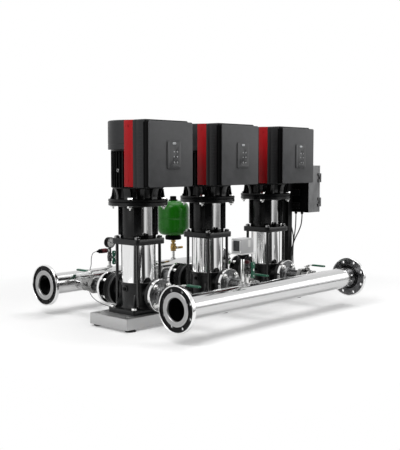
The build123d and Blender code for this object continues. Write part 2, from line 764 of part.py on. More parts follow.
COVER_CENTRE_Z = (COVER_BOTTOM + COVER_TOP) / 2
with BuildPart() as one_front_cover:
    with BuildSketch(Plane.XZ.offset(-HOUSING_FRONT)):
        with Locations((0, COVER_CENTRE_Z)):
            RectangleRounded(CONVERTER_WIDTH, COVER_HEIGHT, COVER_CORNER)
    extrude(amount=COVER_DEPTH)
save("front_covers", at_each_pump(one_front_cover.part))

PANEL_BOTTOM = COVER_BOTTOM + PANEL_RISE
PANEL_LEFT = PANEL_X - PANEL_WIDTH / 2
BUTTON_PLACES = [
    (PANEL_X + BUTTON_COLUMN, PANEL_BOTTOM + BUTTON_HIGH),
    (PANEL_X + BUTTON_COLUMN, PANEL_BOTTOM + BUTTON_MIDDLE),
    (PANEL_X + BUTTON_COLUMN - BUTTON_COLUMN_STEP, PANEL_BOTTOM + BUTTON_LOW),
    (PANEL_X + BUTTON_COLUMN, PANEL_BOTTOM + BUTTON_LOW),
]
PANEL_FRONT = COVER_FRONT - PANEL_THICKNESS
with BuildPart() as one_panel:
    with BuildSketch(Plane.XZ.offset(-COVER_FRONT)):
        with Locations((PANEL_X, PANEL_BOTTOM + PANEL_HEIGHT / 2)):
            RectangleRounded(PANEL_WIDTH, PANEL_HEIGHT, PANEL_CORNER)
        with Locations(*BUTTON_PLACES):
            Rectangle(
                BUTTON_SIZE + 2 * BUTTON_CLEARANCE,
                BUTTON_SIZE + 2 * BUTTON_CLEARANCE,
                mode=Mode.SUBTRACT,
            )
    extrude(amount=PANEL_THICKNESS)
save("control_panels", at_each_pump(one_panel.part))

# Buttons stand proud of the panel, on a switch membrane at the pocket's floor
BUTTON_BACK = COVER_FRONT - BUTTON_SEAT
for pump, spot in enumerate(PUMP_SPOTS, 1):
    for number, (x, z) in enumerate(BUTTON_PLACES, 1):
        with BuildPart() as button:
            with Locations(along(spot[0] + x, ROW_Y + BUTTON_BACK, z, (0, -1, 0))):
                Box(
                    BUTTON_SIZE,
                    BUTTON_SIZE,
                    PANEL_THICKNESS - BUTTON_SEAT + BUTTON_PROUD,
                    align=UP,
                )
            chamfer(button.faces().sort_by(Axis.Y)[0].edges(), 1)
        save(f"button_{pump}_{number}", button.part)


def header(reach, shift, sockets, label):
    """A welded header: one length of pipe and one branch for each pump, face to face."""
    y = ROW_Y + reach
    toward = -1 if reach > 0 else 1
    valve = DISCHARGE_VALVE_REACH if reach > 0 else SUCTION_VALVE_REACH
    branch_length = abs(reach) - valve - VALVE_BODY_LENGTH / 2 - VALVE_END_LENGTH
    left = MIDDLE_X + shift - HEADER_LENGTH / 2
    right = left + HEADER_LENGTH
    seams = [left, *[x + HEADER_JOINT for x in PUMP_XS[:-1]], right]
    lengths = []
    for x, start, end in zip(PUMP_XS, seams, seams[1:]):
        branch = along(x, y, PORT_Z, (0, toward, 0))
        with BuildPart() as length:
            with Locations(along(start, y, PORT_Z, (1, 0, 0))):
                Cylinder(HEADER_D / 2, end - start, align=UP)
            if start == left:
                with Locations(along(left, y, PORT_Z, (1, 0, 0))):
                    Cylinder(COLLAR_D / 2, COLLAR_THICKNESS, align=UP)
            if end == right:
                with Locations(along(right, y, PORT_Z, (-1, 0, 0))):
                    Cylinder(COLLAR_D / 2, COLLAR_THICKNESS, align=UP)
            with Locations(branch):
                Cylinder(BRANCH_D / 2, branch_length, align=UP)
            for socket_x in [MIDDLE_X + socket for socket in sockets]:
                if start < socket_x < end:
                    with Locations((socket_x, y, PORT_Z)):
                        Cylinder(SOCKET_D / 2, HEADER_D / 2 + SOCKET_PROUD, align=UP)
            with Locations(along(start, y, PORT_Z, (1, 0, 0))):
                Cylinder(
                    HEADER_D / 2 - HEADER_WALL, end - start, align=UP, mode=Mode.SUBTRACT
                )
            with Locations(branch):
                Cylinder(
                    BRANCH_D / 2 - BRANCH_WALL, branch_length, align=UP, mode=Mode.SUBTRACT
                )
        lengths.append(length.part)
    save(label, *lengths)


header(-SUCTION_REACH, SUCTION_SHIFT, (SWITCH_X, VENT_X), "suction_header")
header(DISCHARGE_REACH, 0, (GAUGE_X, TANK_X), "discharge_header")

# Loose flanges: pressed rings that pull on the header's collars
with BuildPart() as loose_flange:
    with BuildSketch():
        Circle(LOOSE_FLANGE_D / 2)
        Circle(HEADER_D / 2 + LOOSE_FLANGE_GAP, mode=Mode.SUBTRACT)
        with PolarLocations(
            LOOSE_BOLT_CIRCLE / 2, LOOSE_BOLT_COUNT, start_angle=180 / LOOSE_BOLT_COUNT
        ):
            Circle(LOOSE_BOLT_HOLE_D / 2, mode=Mode.SUBTRACT)
    extrude(amount=LOOSE_FLANGE_THICKNESS)
    with BuildSketch():
        Circle(LOOSE_FLANGE_D / 2 - LOOSE_FLANGE_RIM)
    extrude(amount=COLLAR_THICKNESS, mode=Mode.SUBTRACT)

flange_places = []
for y, shift in ((SUCTION_Y, SUCTION_SHIFT), (DISCHARGE_Y, 0)):
    for end in (-1, 1):
        end_x = MIDDLE_X + shift + end * HEADER_LENGTH / 2
        face = Plane(origin=(end_x, y, PORT_Z), x_dir=(0, 1, 0), z_dir=(-end, 0, 0))
        flange_places.append(face)
with BuildPart() as loose_flanges:
    with Locations(*flange_places):
        add(loose_flange.part)

# Counter flanges with their short pipes, from the pump's port to the valve's union
CHECK_END = PORT_FACE + CHECK_LENGTH
UNION_BACK = VALVE_BODY_LENGTH / 2 + UNION_LENGTH
with BuildPart() as one_flange_pair:
    for side, face, valve in (
        (-1, PORT_FACE, SUCTION_VALVE_REACH),
        (1, CHECK_END, DISCHARGE_VALVE_REACH),
    ):
        reach = valve - UNION_BACK - face
        with Locations(along(0, side * face, PORT_Z, (0, side, 0))):
            Cylinder(PORT_FLANGE_D / 2, COUNTER_FLANGE_THICKNESS, align=UP)
            Cylinder(BRANCH_D / 2, reach, align=UP)
            Cylinder(BRANCH_D / 2 - BRANCH_WALL, reach, align=UP, mode=Mode.SUBTRACT)
save("pipe_flanges", loose_flanges.part, at_each_pump(one_flange_pair.part))

# Check valves: a wide rim at the pump, a barrel inside the studs, a guide bar
with BuildPart() as one_check:
    with Locations(along(0, PORT_FACE, PORT_Z, (0, 1, 0))):
        Cylinder(PORT_FLANGE_D / 2 - 2, CHECK_RIM, align=UP)
        Cylinder(CHECK_BARREL_D / 2, CHECK_LENGTH, align=UP)
        Cylinder(CHECK_PORT_D / 2, CHECK_SEAT, align=UP, mode=Mode.SUBTRACT)
    with Locations(along(0, PORT_FACE + CHECK_SEAT, PORT_Z, (0, 1, 0))):
        Cylinder(
            CHECK_CHAMBER_D / 2,
            CHECK_LENGTH - CHECK_SEAT,
            align=UP,
            mode=Mode.SUBTRACT,
        )
    with Locations((0, CHECK_END - GUIDE_DEPTH / 2, PORT_Z)):
        Box(CHECK_CHAMBER_D + 4, GUIDE_DEPTH, GUIDE_HEIGHT)
    with Locations(along(0, CHECK_END, PORT_Z, (0, -1, 0))):
        Cylinder(
            POPPET_STEM_D / 2 + SHAFT_CLEARANCE,
            GUIDE_DEPTH,
            align=UP,
            mode=Mode.SUBTRACT,
        )
save("check_valve_bodies", at_each_pump(one_check.part))

# Poppets: discs that lift off the seat and slide in the guide bar
for number, spot in enumerate(PUMP_SPOTS, 1):
    with BuildPart() as poppet:
        seat = along(spot[0], ROW_Y + PORT_FACE + CHECK_SEAT, PORT_Z, (0, 1, 0))
        with Locations(seat):
            Cylinder(POPPET_D / 2, POPPET_THICKNESS, align=UP)
            Cylinder(POPPET_STEM_D / 2, POPPET_THICKNESS + POPPET_STEM_LENGTH, align=UP)
    save(f"check_poppet_{number}", poppet.part)

# Ball valve bodies: union nut at the pump, round middle with bonnet, hexagon end
with BuildPart() as one_valve_pair:
    for side, reach in ((-1, SUCTION_VALVE_REACH), (1, DISCHARGE_VALVE_REACH)):
        union = along(0, side * (reach - UNION_BACK), PORT_Z, (0, side, 0))
        with BuildSketch(union):
            RegularPolygon(UNION_FLATS / 2, 6, major_radius=False)
        extrude(amount=UNION_LENGTH)
        with Locations(along(0, side * reach, PORT_Z, (0, side, 0))):
            Cylinder(VALVE_BODY_D / 2, VALVE_BODY_LENGTH)
        end_start = reach + VALVE_BODY_LENGTH / 2
        with BuildSketch(along(0, side * end_start, PORT_Z, (0, side, 0))):
            RegularPolygon(VALVE_END_FLATS / 2, 6, major_radius=False)
        extrude(amount=VALVE_END_LENGTH)
        with Locations((0, side * reach, PORT_Z)):
            Cylinder(BONNET_D / 2, BONNET_TOP, align=UP)
            Cylinder(STEM_D / 2 + SHAFT_CLEARANCE, BONNET_TOP, align=UP, mode=Mode.SUBTRACT)
            Cylinder(
                PLUG_D / 2 + PLUG_CLEARANCE,
                PLUG_HEIGHT + 2 * PLUG_CLEARANCE,
                mode=Mode.SUBTRACT,
            )
        with Locations(union):
            Cylinder(
                BRANCH_D / 2 - BRANCH_WALL,
                UNION_BACK + VALVE_BODY_LENGTH / 2 + VALVE_END_LENGTH,
                align=UP,
                mode=Mode.SUBTRACT,
            )

# Levers: cranked sheet with a moulded grip, along the pipe while the valve is open
LEVER_Z = PORT_Z + BONNET_TOP + LEVER_LIFT
GRIP_PROUD = (LEVER_GRIP - LEVER_SHEET) / 2


def ball_valve_lever(label, x, reach, side):
    """A lever that grips away from the pump, on the stem and bored plug that it turns."""
    pivot = ROW_Y + side * reach
    profile = Plane(origin=(x, pivot, LEVER_Z), x_dir=(0, side, 0), z_dir=(side, 0, 0))
    with BuildPart() as lever:
        with BuildSketch(profile):
            with BuildLine():
                Polyline(
                    (-LEVER_HEEL, 0),
                    (LEVER_HEEL - LEVER_SHEET, 0),
                    (LEVER_HEEL - LEVER_SHEET, LEVER_CRANK),
                    (LEVER_GRIP_START, LEVER_CRANK),
                    (LEVER_GRIP_START, LEVER_CRANK - GRIP_PROUD),
                    (LEVER_LENGTH, LEVER_CRANK - GRIP_PROUD),
                    (LEVER_LENGTH, LEVER_CRANK + LEVER_SHEET + GRIP_PROUD),
                    (LEVER_GRIP_START, LEVER_CRANK + LEVER_SHEET + GRIP_PROUD),
                    (LEVER_GRIP_START, LEVER_CRANK + LEVER_SHEET),
                    (LEVER_HEEL - 2 * LEVER_SHEET, LEVER_CRANK + LEVER_SHEET),
                    (LEVER_HEEL - 2 * LEVER_SHEET, LEVER_SHEET),
                    (-LEVER_HEEL, LEVER_SHEET),
                    close=True,
                )
            make_face()
        extrude(amount=LEVER_WIDTH / 2, both=True)
    with BuildPart() as plug:
        with Locations((x, pivot, PORT_Z)):
            Cylinder(PLUG_D / 2, PLUG_HEIGHT)
            Cylinder(STEM_D / 2, BONNET_TOP + LEVER_LIFT, align=UP)
        with Locations(along(x, pivot, PORT_Z, (0, 1, 0))):
            Cylinder(PLUG_BORE_D / 2, PLUG_D, mode=Mode.SUBTRACT)
    save(label, lever.part, plug.part)


for number, x in enumerate(PUMP_XS, 1):
    ball_valve_lever(f"suction_lever_{number}", x, SUCTION_VALVE_REACH, -1)
    ball_valve_lever(f"discharge_lever_{number}", x, DISCHARGE_VALVE_REACH, 1)

# Flange bolts, studs beside the check valves, foot bolts and motor bolts
with BuildPart() as one_bolt_set:
    counter_faces = (
        (-1, PORT_FACE + COUNTER_FLANGE_THICKNESS),
        (1, CHECK_END + COUNTER_FLANGE_THICKNESS),
    )
    for side, face in counter_faces:
        for place in bolt_ring(side * face, (0, side, 0)):
            with BuildSketch(place):
                RegularPolygon(BOLT_FLATS / 2, 6, major_radius=False)
            extrude(amount=BOLT_HEAD)
    with Locations(*bolt_ring(PORT_FACE + CHECK_RIM, (0, 1, 0))):
        Cylinder(STUD_D / 2, CHECK_LENGTH - CHECK_RIM, align=UP)
    with BuildSketch(Plane.XY.offset(PLATE_TOP)):
        with GridLocations(PLATE_X - 2 * FOOT_BOLT_INSET, PLATE_Y - 2 * FOOT_BOLT_INSET, 2, 2):
            RegularPolygon(BOLT_FLATS / 2, 6, major_radius=False)
    extrude(amount=BOLT_HEAD)
    for level, height in ((STOOL_TOP - STOOL_FLANGE, -BOLT_HEAD), (MOTOR_BODY_Z, BOLT_HEAD)):
        with BuildSketch(Plane.XY.offset(level)):
            with PolarLocations(MOTOR_BOLT_RADIUS, 4, start_angle=30):
                RegularPolygon(BOLT_FLATS / 2, 6, major_radius=False)
        extrude(amount=height)
save("fasteners", at_each_pump(one_bolt_set.part))


def wing_valve_body(x, y, wing_z, bottom):
    """A small upright valve on a header, whose neck points to the front."""
    with Locations((x, y, bottom)):
        Cylinder(STAND_D / 2, wing_z - bottom, align=UP)
    with Locations((x, y, wing_z)):
        Cylinder(WING_BODY_D / 2, WING_BODY_HEIGHT)
    with Locations(along(x, y, wing_z, (0, -1, 0))):
        Cylinder(WING_NECK_D / 2, WING_BODY_D / 2 + WING_NECK, align=UP)
        Cylinder(
            WING_STEM_D / 2 + SHAFT_CLEARANCE,
            WING_BODY_D / 2 + WING_NECK,
            align=UP,
            mode=Mode.SUBTRACT,
        )


def wing_handle(x, y, z, label):
    """A two-winged handle on its stem, upright while the valve is open."""
    neck_end = y - WING_BODY_D / 2 - WING_NECK
    with BuildPart() as handle:
        with BuildSketch(facing_front(x, neck_end - WING_GAP, z)):
            with BuildLine():
                half = WING_LENGTH / 2
                corners = [
                    (-WING_WIDTH / 2, -half),
                    (WING_WIDTH / 2, -half),
                    (WING_WAIST / 2, 0),
                    (WING_WIDTH / 2, half),
                    (-WING_WIDTH / 2, half),
                    (-WING_WAIST / 2, 0),
                ]
                Polyline(*corners, close=True)
            make_face()
        extrude(amount=WING_THICKNESS)
        with Locations(along(x, neck_end - WING_GAP, z, (0, 1, 0))):
            Cylinder(WING_STEM_D / 2, WING_GAP + WING_NECK, align=UP)
    save(label, handle.part)


# Small brass valves under the gauge, at the vent and under the tank
SOCKET_TOP = HEADER_TOP + SOCKET_PROUD
GAUGE_WING_Z = HEADER_TOP + WING_RISE
VENT_WING_Z = HEADER_TOP + VENT_WING_RISE
GAUGE_Z = HEADER_TOP + GAUGE_RISE
SENSOR_Z = HEADER_TOP + SENSOR_RISE
TANK_BOTTOM = HEADER_TOP + TANK_RISE + TANK_FLANGE_HEIGHT
GAUGE_SPOT_X = MIDDLE_X + GAUGE_X
VENT_SPOT_X = MIDDLE_X + VENT_X
TANK_SPOT_X = MIDDLE_X + TANK_X
TANK_WING_Z = HEADER_TOP + TANK_RISE * 0.6
with BuildPart() as service_valves:
    wing_valve_body(GAUGE_SPOT_X, DISCHARGE_Y, GAUGE_WING_Z, SOCKET_TOP)
    with Locations((GAUGE_SPOT_X, DISCHARGE_Y, GAUGE_WING_Z)):
        Cylinder(STAND_D / 2, GAUGE_Z - GAUGE_WING_Z - GAUGE_D / 2, align=UP)
    wing_valve_body(VENT_SPOT_X, SUCTION_Y, VENT_WING_Z, SOCKET_TOP)
    with Locations((VENT_SPOT_X, SUCTION_Y, VENT_WING_Z + WING_BODY_HEIGHT / 2)):
        Cylinder(VENT_CAP_D / 2, VENT_CAP_HEIGHT, align=UP)
    with Locations((TANK_SPOT_X, DISCHARGE_Y, SOCKET_TOP)):
        Cylinder(STAND_D / 2, TANK_RISE - SOCKET_PROUD, align=UP)
    with Locations((TANK_SPOT_X, DISCHARGE_Y, TANK_WING_Z)):
        Cylinder(TANK_VALVE_D / 2, WING_BODY_HEIGHT)
    with Locations(along(TANK_SPOT_X, DISCHARGE_Y, TANK_WING_Z, (0, -1, 0))):
        Cylinder(WING_NECK_D / 2, WING_BODY_D / 2 + WING_NECK, align=UP)
        Cylinder(
            WING_STEM_D / 2 + SHAFT_CLEARANCE,
            WING_BODY_D / 2 + WING_NECK,
            align=UP,
            mode=Mode.SUBTRACT,
        )
save("valve_bodies", at_each_pump(one_valve_pair.part), service_valves.part)

wing_handle(GAUGE_SPOT_X, DISCHARGE_Y, GAUGE_WING_Z, "gauge_valve_handle")
wing_handle(VENT_SPOT_X, SUCTION_Y, VENT_WING_Z, "vent_valve_handle")

# Tank valve handle: one flat arm across to the right
neck_end = DISCHARGE_Y - WING_BODY_D / 2 - WING_NECK
with BuildPart() as tank_valve_handle:
    with BuildSketch(facing_front(TANK_SPOT_X, neck_end - WING_GAP, TANK_WING_Z)):
        with Locations((TANK_HANDLE_LENGTH / 2 - WING_WAIST / 2, 0)):
            Rectangle(TANK_HANDLE_LENGTH, WING_WAIST)
    extrude(amount=LEVER_SHEET)
    with Locations(along(TANK_SPOT_X, neck_end - WING_GAP, TANK_WING_Z, (0, 1, 0))):
        Cylinder(WING_STEM_D / 2, WING_GAP + WING_NECK, align=UP)
save("tank_valve_handle", tank_valve_handle.part)

# Diaphragm tank: two drawn shells in narrow bands between their flange and cap
low = TANK_BOTTOM
high = TANK_BOTTOM + TANK_HEIGHT
bands = [i / TANK_DOME_BANDS * pi / 2 for i in range(TANK_DOME_BANDS + 1)]
flange_step = (TANK_D - TANK_FLANGE_D) / 2
cap_step = (TANK_D - TANK_CAP_D) / 2
lower_dome = [
    (TANK_FLANGE_D / 2 + flange_step * sin(turn), low + TANK_DOME * (1 - cos(turn)))
    for turn in bands
]
upper_dome = [
    (TANK_CAP_D / 2 + cap_step * cos(turn), high - TANK_DOME * (1 - sin(turn)))
    for turn in bands
]
with BuildPart() as tank_shell:
    with BuildSketch(facing_front(TANK_SPOT_X, DISCHARGE_Y, 0)):
        with BuildLine():
            Polyline((0, low), *lower_dome, *upper_dome, (0, high), close=True)
        make_face()
    revolve(axis=Axis((TANK_SPOT_X, DISCHARGE_Y, 0), (0, 0, 1)))
with BuildPart() as tank_ends:
    with Locations((TANK_SPOT_X, DISCHARGE_Y, TANK_BOTTOM)):
        Cylinder(TANK_FLANGE_D / 2, TANK_FLANGE_HEIGHT, align=DOWN)
    with Locations((TANK_SPOT_X, DISCHARGE_Y, TANK_BOTTOM + TANK_HEIGHT)):
        Cylinder(TANK_CAP_D / 2, TANK_CAP_HEIGHT, align=UP)
save("diaphragm_tank", tank_shell.part, tank_ends.part)

# Pressure gauge facing the front, on top of its stand
with BuildPart() as gauge_case:
    front = along(GAUGE_SPOT_X, DISCHARGE_Y - GAUGE_DEPTH / 2, GAUGE_Z, (0, 1, 0))
    with Locations(front):
        Cylinder(GAUGE_D / 2, GAUGE_DEPTH, align=UP)
        Cylinder(GAUGE_D / 2 - 3, GAUGE_GLASS * 2, align=UP, mode=Mode.SUBTRACT)
with BuildPart() as gauge_dial:
    with Locations(front.offset(GAUGE_GLASS)):
        Cylinder(GAUGE_D / 2 - 3, GAUGE_GLASS, align=UP)
save("pressure_gauge", gauge_case.part, gauge_dial.part)

# Pressure transmitter, level, screwed into the stand
with BuildPart() as pressure_transmitter:
    with BuildSketch(along(GAUGE_SPOT_X - STAND_D / 2, DISCHARGE_Y, SENSOR_Z, (-1, 0, 0))):
        RegularPolygon(SENSOR_NUT_FLATS / 2, 6, major_radius=False)
    extrude(amount=SENSOR_NUT_LENGTH)
    with Locations(
        along(GAUGE_SPOT_X - STAND_D / 2 - SENSOR_NUT_LENGTH, DISCHARGE_Y, SENSOR_Z, (-1, 0, 0))
    ):
        Cylinder(SENSOR_D / 2, SENSOR_LENGTH - SENSOR_NUT_LENGTH, align=UP)
save("pressure_transmitter", pressure_transmitter.part)

# Pressure switch on its standpipe
SWITCH_SPOT_X = MIDDLE_X + SWITCH_X
SWITCH_Z = HEADER_TOP + SWITCH_RISE
with BuildPart() as switch_pipe:
    with Locations((SWITCH_SPOT_X, SUCTION_Y, SOCKET_TOP)):
        Cylinder(STAND_D / 2, SWITCH_RISE - SOCKET_PROUD - SWITCH_CONE, align=UP)
    with Locations((SWITCH_SPOT_X, SUCTION_Y, SWITCH_Z)):
        Cone(STAND_D / 2, SWITCH_CONE_D / 2, SWITCH_CONE, align=DOWN)
with BuildPart() as switch_case:
    with Locations((SWITCH_SPOT_X, SUCTION_Y, SWITCH_Z)):
        Box(
            SWITCH_X_SIZE + 2 * SWITCH_BASE_PROUD,
            SWITCH_Y_SIZE + 2 * SWITCH_BASE_PROUD,
            SWITCH_BASE,
            align=UP,
        )
    with Locations((SWITCH_SPOT_X, SUCTION_Y, SWITCH_Z + SWITCH_BASE)):
        Box(SWITCH_X_SIZE, SWITCH_Y_SIZE, SWITCH_HEIGHT, align=UP)
save("pressure_switch", switch_pipe.part, switch_case.part)

# Cabinet post: square tube on a foot plate, with a bracket to the cabinet's back
POST_SPOT = (MIDDLE_X + POST_X, ROW_Y + POST_Y)
CABINET_BOTTOM = FRAME_TOP + CABINET_LIFT
CABINET_CENTRE_Y = ROW_Y + CABINET_Y
CABINET_BACK_X = MIDDLE_X + CABINET_BACK
with BuildPart() as cabinet_post:
    with BuildSketch(Plane.XY.offset(FRAME_TOP + POST_FOOT)):
        with Locations(POST_SPOT):
            Rectangle(POST_X_SIZE, POST_Y_SIZE)
            Rectangle(
                POST_X_SIZE - 2 * POST_WALL,
                POST_Y_SIZE - 2 * POST_WALL,
                mode=Mode.SUBTRACT,
            )
    extrude(amount=POST_HEIGHT - POST_FOOT)
    with Locations((POST_SPOT[0], POST_SPOT[1] - POST_Y_SIZE / 2, FRAME_TOP)):
        Box(
            POST_FOOT_X,
            POST_FOOT_Y,
            POST_FOOT,
            align=(Align.CENTER, Align.MIN, Align.MIN),
        )
    for height in (CABINET_BOTTOM + BRACKET_DROP, CABINET_BOTTOM + BRACKET_HEIGHT):
        with Locations((CABINET_BACK_X - BRACKET / 2, POST_SPOT[1], height)):
            Box(BRACKET, 3 * POST_Y_SIZE, BRACKET_DROP)
save("cabinet_post", cabinet_post.part)

# Cabinet body: a shell open to the right, with a lip inside the door
HINGE_X = MIDDLE_X + DOOR_BACK + DOOR_THICKNESS / 2
HINGE_Y = CABINET_CENTRE_Y - CABINET_WIDTH / 2 - HINGE_OUT
HINGE_LEVELS = [CABINET_BOTTOM + rise for rise in HINGE_RISES]
with BuildPart() as cabinet_body:
    shell_place = along(CABINET_BACK_X, CABINET_CENTRE_Y, CABINET_BOTTOM, (1, 0, 0))
    with Locations((CABINET_BACK_X + CABINET_DEPTH / 2, CABINET_CENTRE_Y, CABINET_BOTTOM)):
        Box(CABINET_DEPTH, CABINET_WIDTH, CABINET_HEIGHT, align=UP)
    with Locations(
        (
            CABINET_BACK_X + CABINET_SHEET + CABINET_DEPTH / 2,
            CABINET_CENTRE_Y,
            CABINET_BOTTOM + CABINET_SHEET,
        )
    ):
        Box(
            CABINET_DEPTH,
            CABINET_WIDTH - 2 * CABINET_SHEET,
            CABINET_HEIGHT - 2 * CABINET_SHEET,
            align=UP,
            mode=Mode.SUBTRACT,
        )
    for level in HINGE_LEVELS:
        for step in (-1, 1):
            lug_z = level + step * (HINGE_HEIGHT + HINGE_GAP)
            lug_reach = HINGE_X - MIDDLE_X - CABINET_BACK - CABINET_DEPTH + 10
            with Locations((HINGE_X, HINGE_Y, lug_z)):
                Cylinder(HINGE_D / 2, HINGE_HEIGHT)
            with Locations((HINGE_X - lug_reach, HINGE_Y, lug_z)):
                Box(
                    lug_reach,
                    HINGE_OUT,
                    HINGE_HEIGHT,
                    align=(Align.MIN, Align.MIN, Align.CENTER),
                )
        with Locations((HINGE_X, HINGE_Y, level)):
            Cylinder(HINGE_PIN_D / 2, HINGE_HEIGHT * 2)
save("cabinet_body", cabinet_body.part)

# Door: a shallow tray that hangs on the cabinet's two pins, with one lock
with BuildPart() as cabinet_door:
    with Locations((MIDDLE_X + DOOR_BACK, CABINET_CENTRE_Y, CABINET_BOTTOM)):
        Box(
            DOOR_THICKNESS,
            CABINET_WIDTH,
            CABINET_HEIGHT,
            align=(Align.MIN, Align.CENTER, Align.MIN),
        )
    with Locations((MIDDLE_X + DOOR_BACK, CABINET_CENTRE_Y, CABINET_BOTTOM + CABINET_LIP)):
        Box(
            DOOR_THICKNESS - DOOR_SHEET,
            CABINET_WIDTH - 2 * CABINET_LIP,
            CABINET_HEIGHT - 2 * CABINET_LIP,
            align=(Align.MIN, Align.CENTER, Align.MIN),
            mode=Mode.SUBTRACT,
        )
    for level in HINGE_LEVELS:
        with Locations((HINGE_X, HINGE_Y, level)):
            Cylinder(HINGE_D / 2, HINGE_HEIGHT)
            Box(
                DOOR_THICKNESS / 2,
                HINGE_OUT,
                HINGE_HEIGHT,
                align=(Align.CENTER, Align.MIN, Align.CENTER),
            )
            Cylinder(
                HINGE_PIN_D / 2 + SHAFT_CLEARANCE,
                HINGE_HEIGHT,
                mode=Mode.SUBTRACT,
            )
    lock_y = CABINET_CENTRE_Y + CABINET_WIDTH / 2 - 2 * CABINET_LIP
    lock_z = CABINET_BOTTOM + CABINET_HEIGHT / 2
    with Locations(along(MIDDLE_X + DOOR_FRONT, lock_y, lock_z, (1, 0, 0))):
        Cylinder(LOCK_D / 2, LOCK_PROUD, align=UP)
save("cabinet_door", cabinet_door.part)

# Cable glands under the cabinet and cable entries in the frame
GLAND_SPOT_X = CABINET_BACK_X + GLAND_X
GROMMET_PLACES = [(POST_SPOT[0] + x, ROW_Y + GROMMET_Y, FRAME_TOP) for x in GROMMET_XS]
SENSOR_GLAND = (MIDDLE_X + SENSOR_GLAND_X, ROW_Y + FRAME_WIDTH / 2, SENSOR_GLAND_Z)
with BuildPart() as glands_and_grommets:
    with BuildSketch(Plane.XY.offset(CABINET_BOTTOM)):
        with Locations(*[(GLAND_SPOT_X, ROW_Y + y) for y in GLAND_YS]):
            RegularPolygon(GLAND_FLATS / 2, 6, major_radius=False)
    extrude(amount=-GLAND_LENGTH)
    with Locations(*GROMMET_PLACES):
        Cylinder(GROMMET_D / 2, GROMMET_HEIGHT, align=UP)
    with Locations(along(*SENSOR_GLAND, (0, 1, 0))):
        Cylinder(GROMMET_D / 2, GLAND_LENGTH, align=UP)
save("glands_and_grommets", glands_and_grommets.part)


def cord(points, diameter, label):
    """A cord's tube: straight runs joined by the largest tangent arcs that fit."""
    radii = []
    for before, here, after in zip(points, points[1:], points[2:]):
        run_in = Vector(*here) - Vector(*before)
        run_out = Vector(*after) - Vector(*here)
        turn = radians(run_in.get_angle(run_out))
        radii.append(0.45 * min(run_in.length, run_out.length) / tan(turn / 2))
    with BuildPart() as tube:
        with BuildLine() as route:
            FilletPolyline(*points, radius=radii)
        start = Plane(origin=points[0], z_dir=Vector(*points[1]) - Vector(*points[0]))
        with BuildSketch(start):
            Circle(diameter / 2)
        sweep(path=route.wires()[0])
    length = route.wires()[0].length
    section = pi * diameter**2 / 4
    print(label, "length", round(length), "least radius", round(min(radii)))
    print(label, "volume over section times length", round(tube.part.volume / section / length, 4))
    save(label, tube.part)


# Cabinet cables: down from the glands, together along the post and into the frame
CABINET_ROUTES = (
    (
        (70, -88, 503),
        (70, -88, 452),
        (43, -84, 398),
        (7, -75, 345),
        (-7, -60, 258),
        (-10, -64, 163),
        (-10, -64, 72),
    ),
    (
        (70, -42, 503),
        (70, -42, 452),
        (46, -54, 397),
        (14, -66, 344),
        (3, -59, 256),
        (3.5, -64, 163),
        (3.5, -64, 72),
    ),
    (
        (70, 3, 503),
        (70, 3, 452),
        (52, -30, 400),
        (29, -56, 350),
        (18, -58, 262),
        (17, -64, 163),
        (17, -64, 72),
    ),
)
for number, route in enumerate(CABINET_ROUTES, 1):
    points = [(POST_SPOT[0] + x, ROW_Y + y, z) for x, y, z in route]
    cord(points, CABLE_D, f"cabinet_cable_{number}")

# Transmitter cable: over the back of the header and down to the frame's rear face
SENSOR_ROUTE = (
    (-348, 533, 315.15),
    (-380, 533, 315.15),
    (-388, 537, 275),
    (-380, 546, 236),
    (-366, 580, 208),
    (-362, 600, 160),
    (-366, 592, 103),
    (-377, 555, 62),
    (-390, 499, 45),
    (-402, 442, 36),
    (-411, 384, 32),
    (-417, 326, 31),
    (-419, 268, 34),
    (-418, 211, 42),
    (-418, 154, 42),
)
points = [(MIDDLE_X + x, ROW_Y + y, z) for x, y, z in SENSOR_ROUTE]
cord(points, SENSOR_CABLE_D, "transmitter_cable")
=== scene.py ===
from math import atan2, cos, degrees, pi, radians, sin, sqrt

import bmesh
import bpy
from mathutils import Matrix, Vector


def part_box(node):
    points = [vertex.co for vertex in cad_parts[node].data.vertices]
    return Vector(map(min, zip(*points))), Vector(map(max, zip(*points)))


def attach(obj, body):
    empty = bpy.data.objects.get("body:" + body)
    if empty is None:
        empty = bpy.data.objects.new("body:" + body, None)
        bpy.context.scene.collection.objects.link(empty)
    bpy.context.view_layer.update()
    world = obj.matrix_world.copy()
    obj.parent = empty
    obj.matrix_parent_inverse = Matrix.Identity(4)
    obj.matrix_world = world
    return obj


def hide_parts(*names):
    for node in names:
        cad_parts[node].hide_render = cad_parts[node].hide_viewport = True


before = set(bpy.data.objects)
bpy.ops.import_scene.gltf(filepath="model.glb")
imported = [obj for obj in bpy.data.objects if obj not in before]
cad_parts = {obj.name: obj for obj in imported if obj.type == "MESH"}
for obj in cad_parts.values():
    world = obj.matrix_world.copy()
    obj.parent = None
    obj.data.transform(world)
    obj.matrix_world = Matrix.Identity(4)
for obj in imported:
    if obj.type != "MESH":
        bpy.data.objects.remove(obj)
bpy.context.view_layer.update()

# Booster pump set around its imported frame, in metres: +X runs along the row of pumps,
# +Y from the suction header to the discharge header, +Z up from the floor.

SET = "pump_set"
MM = 0.001

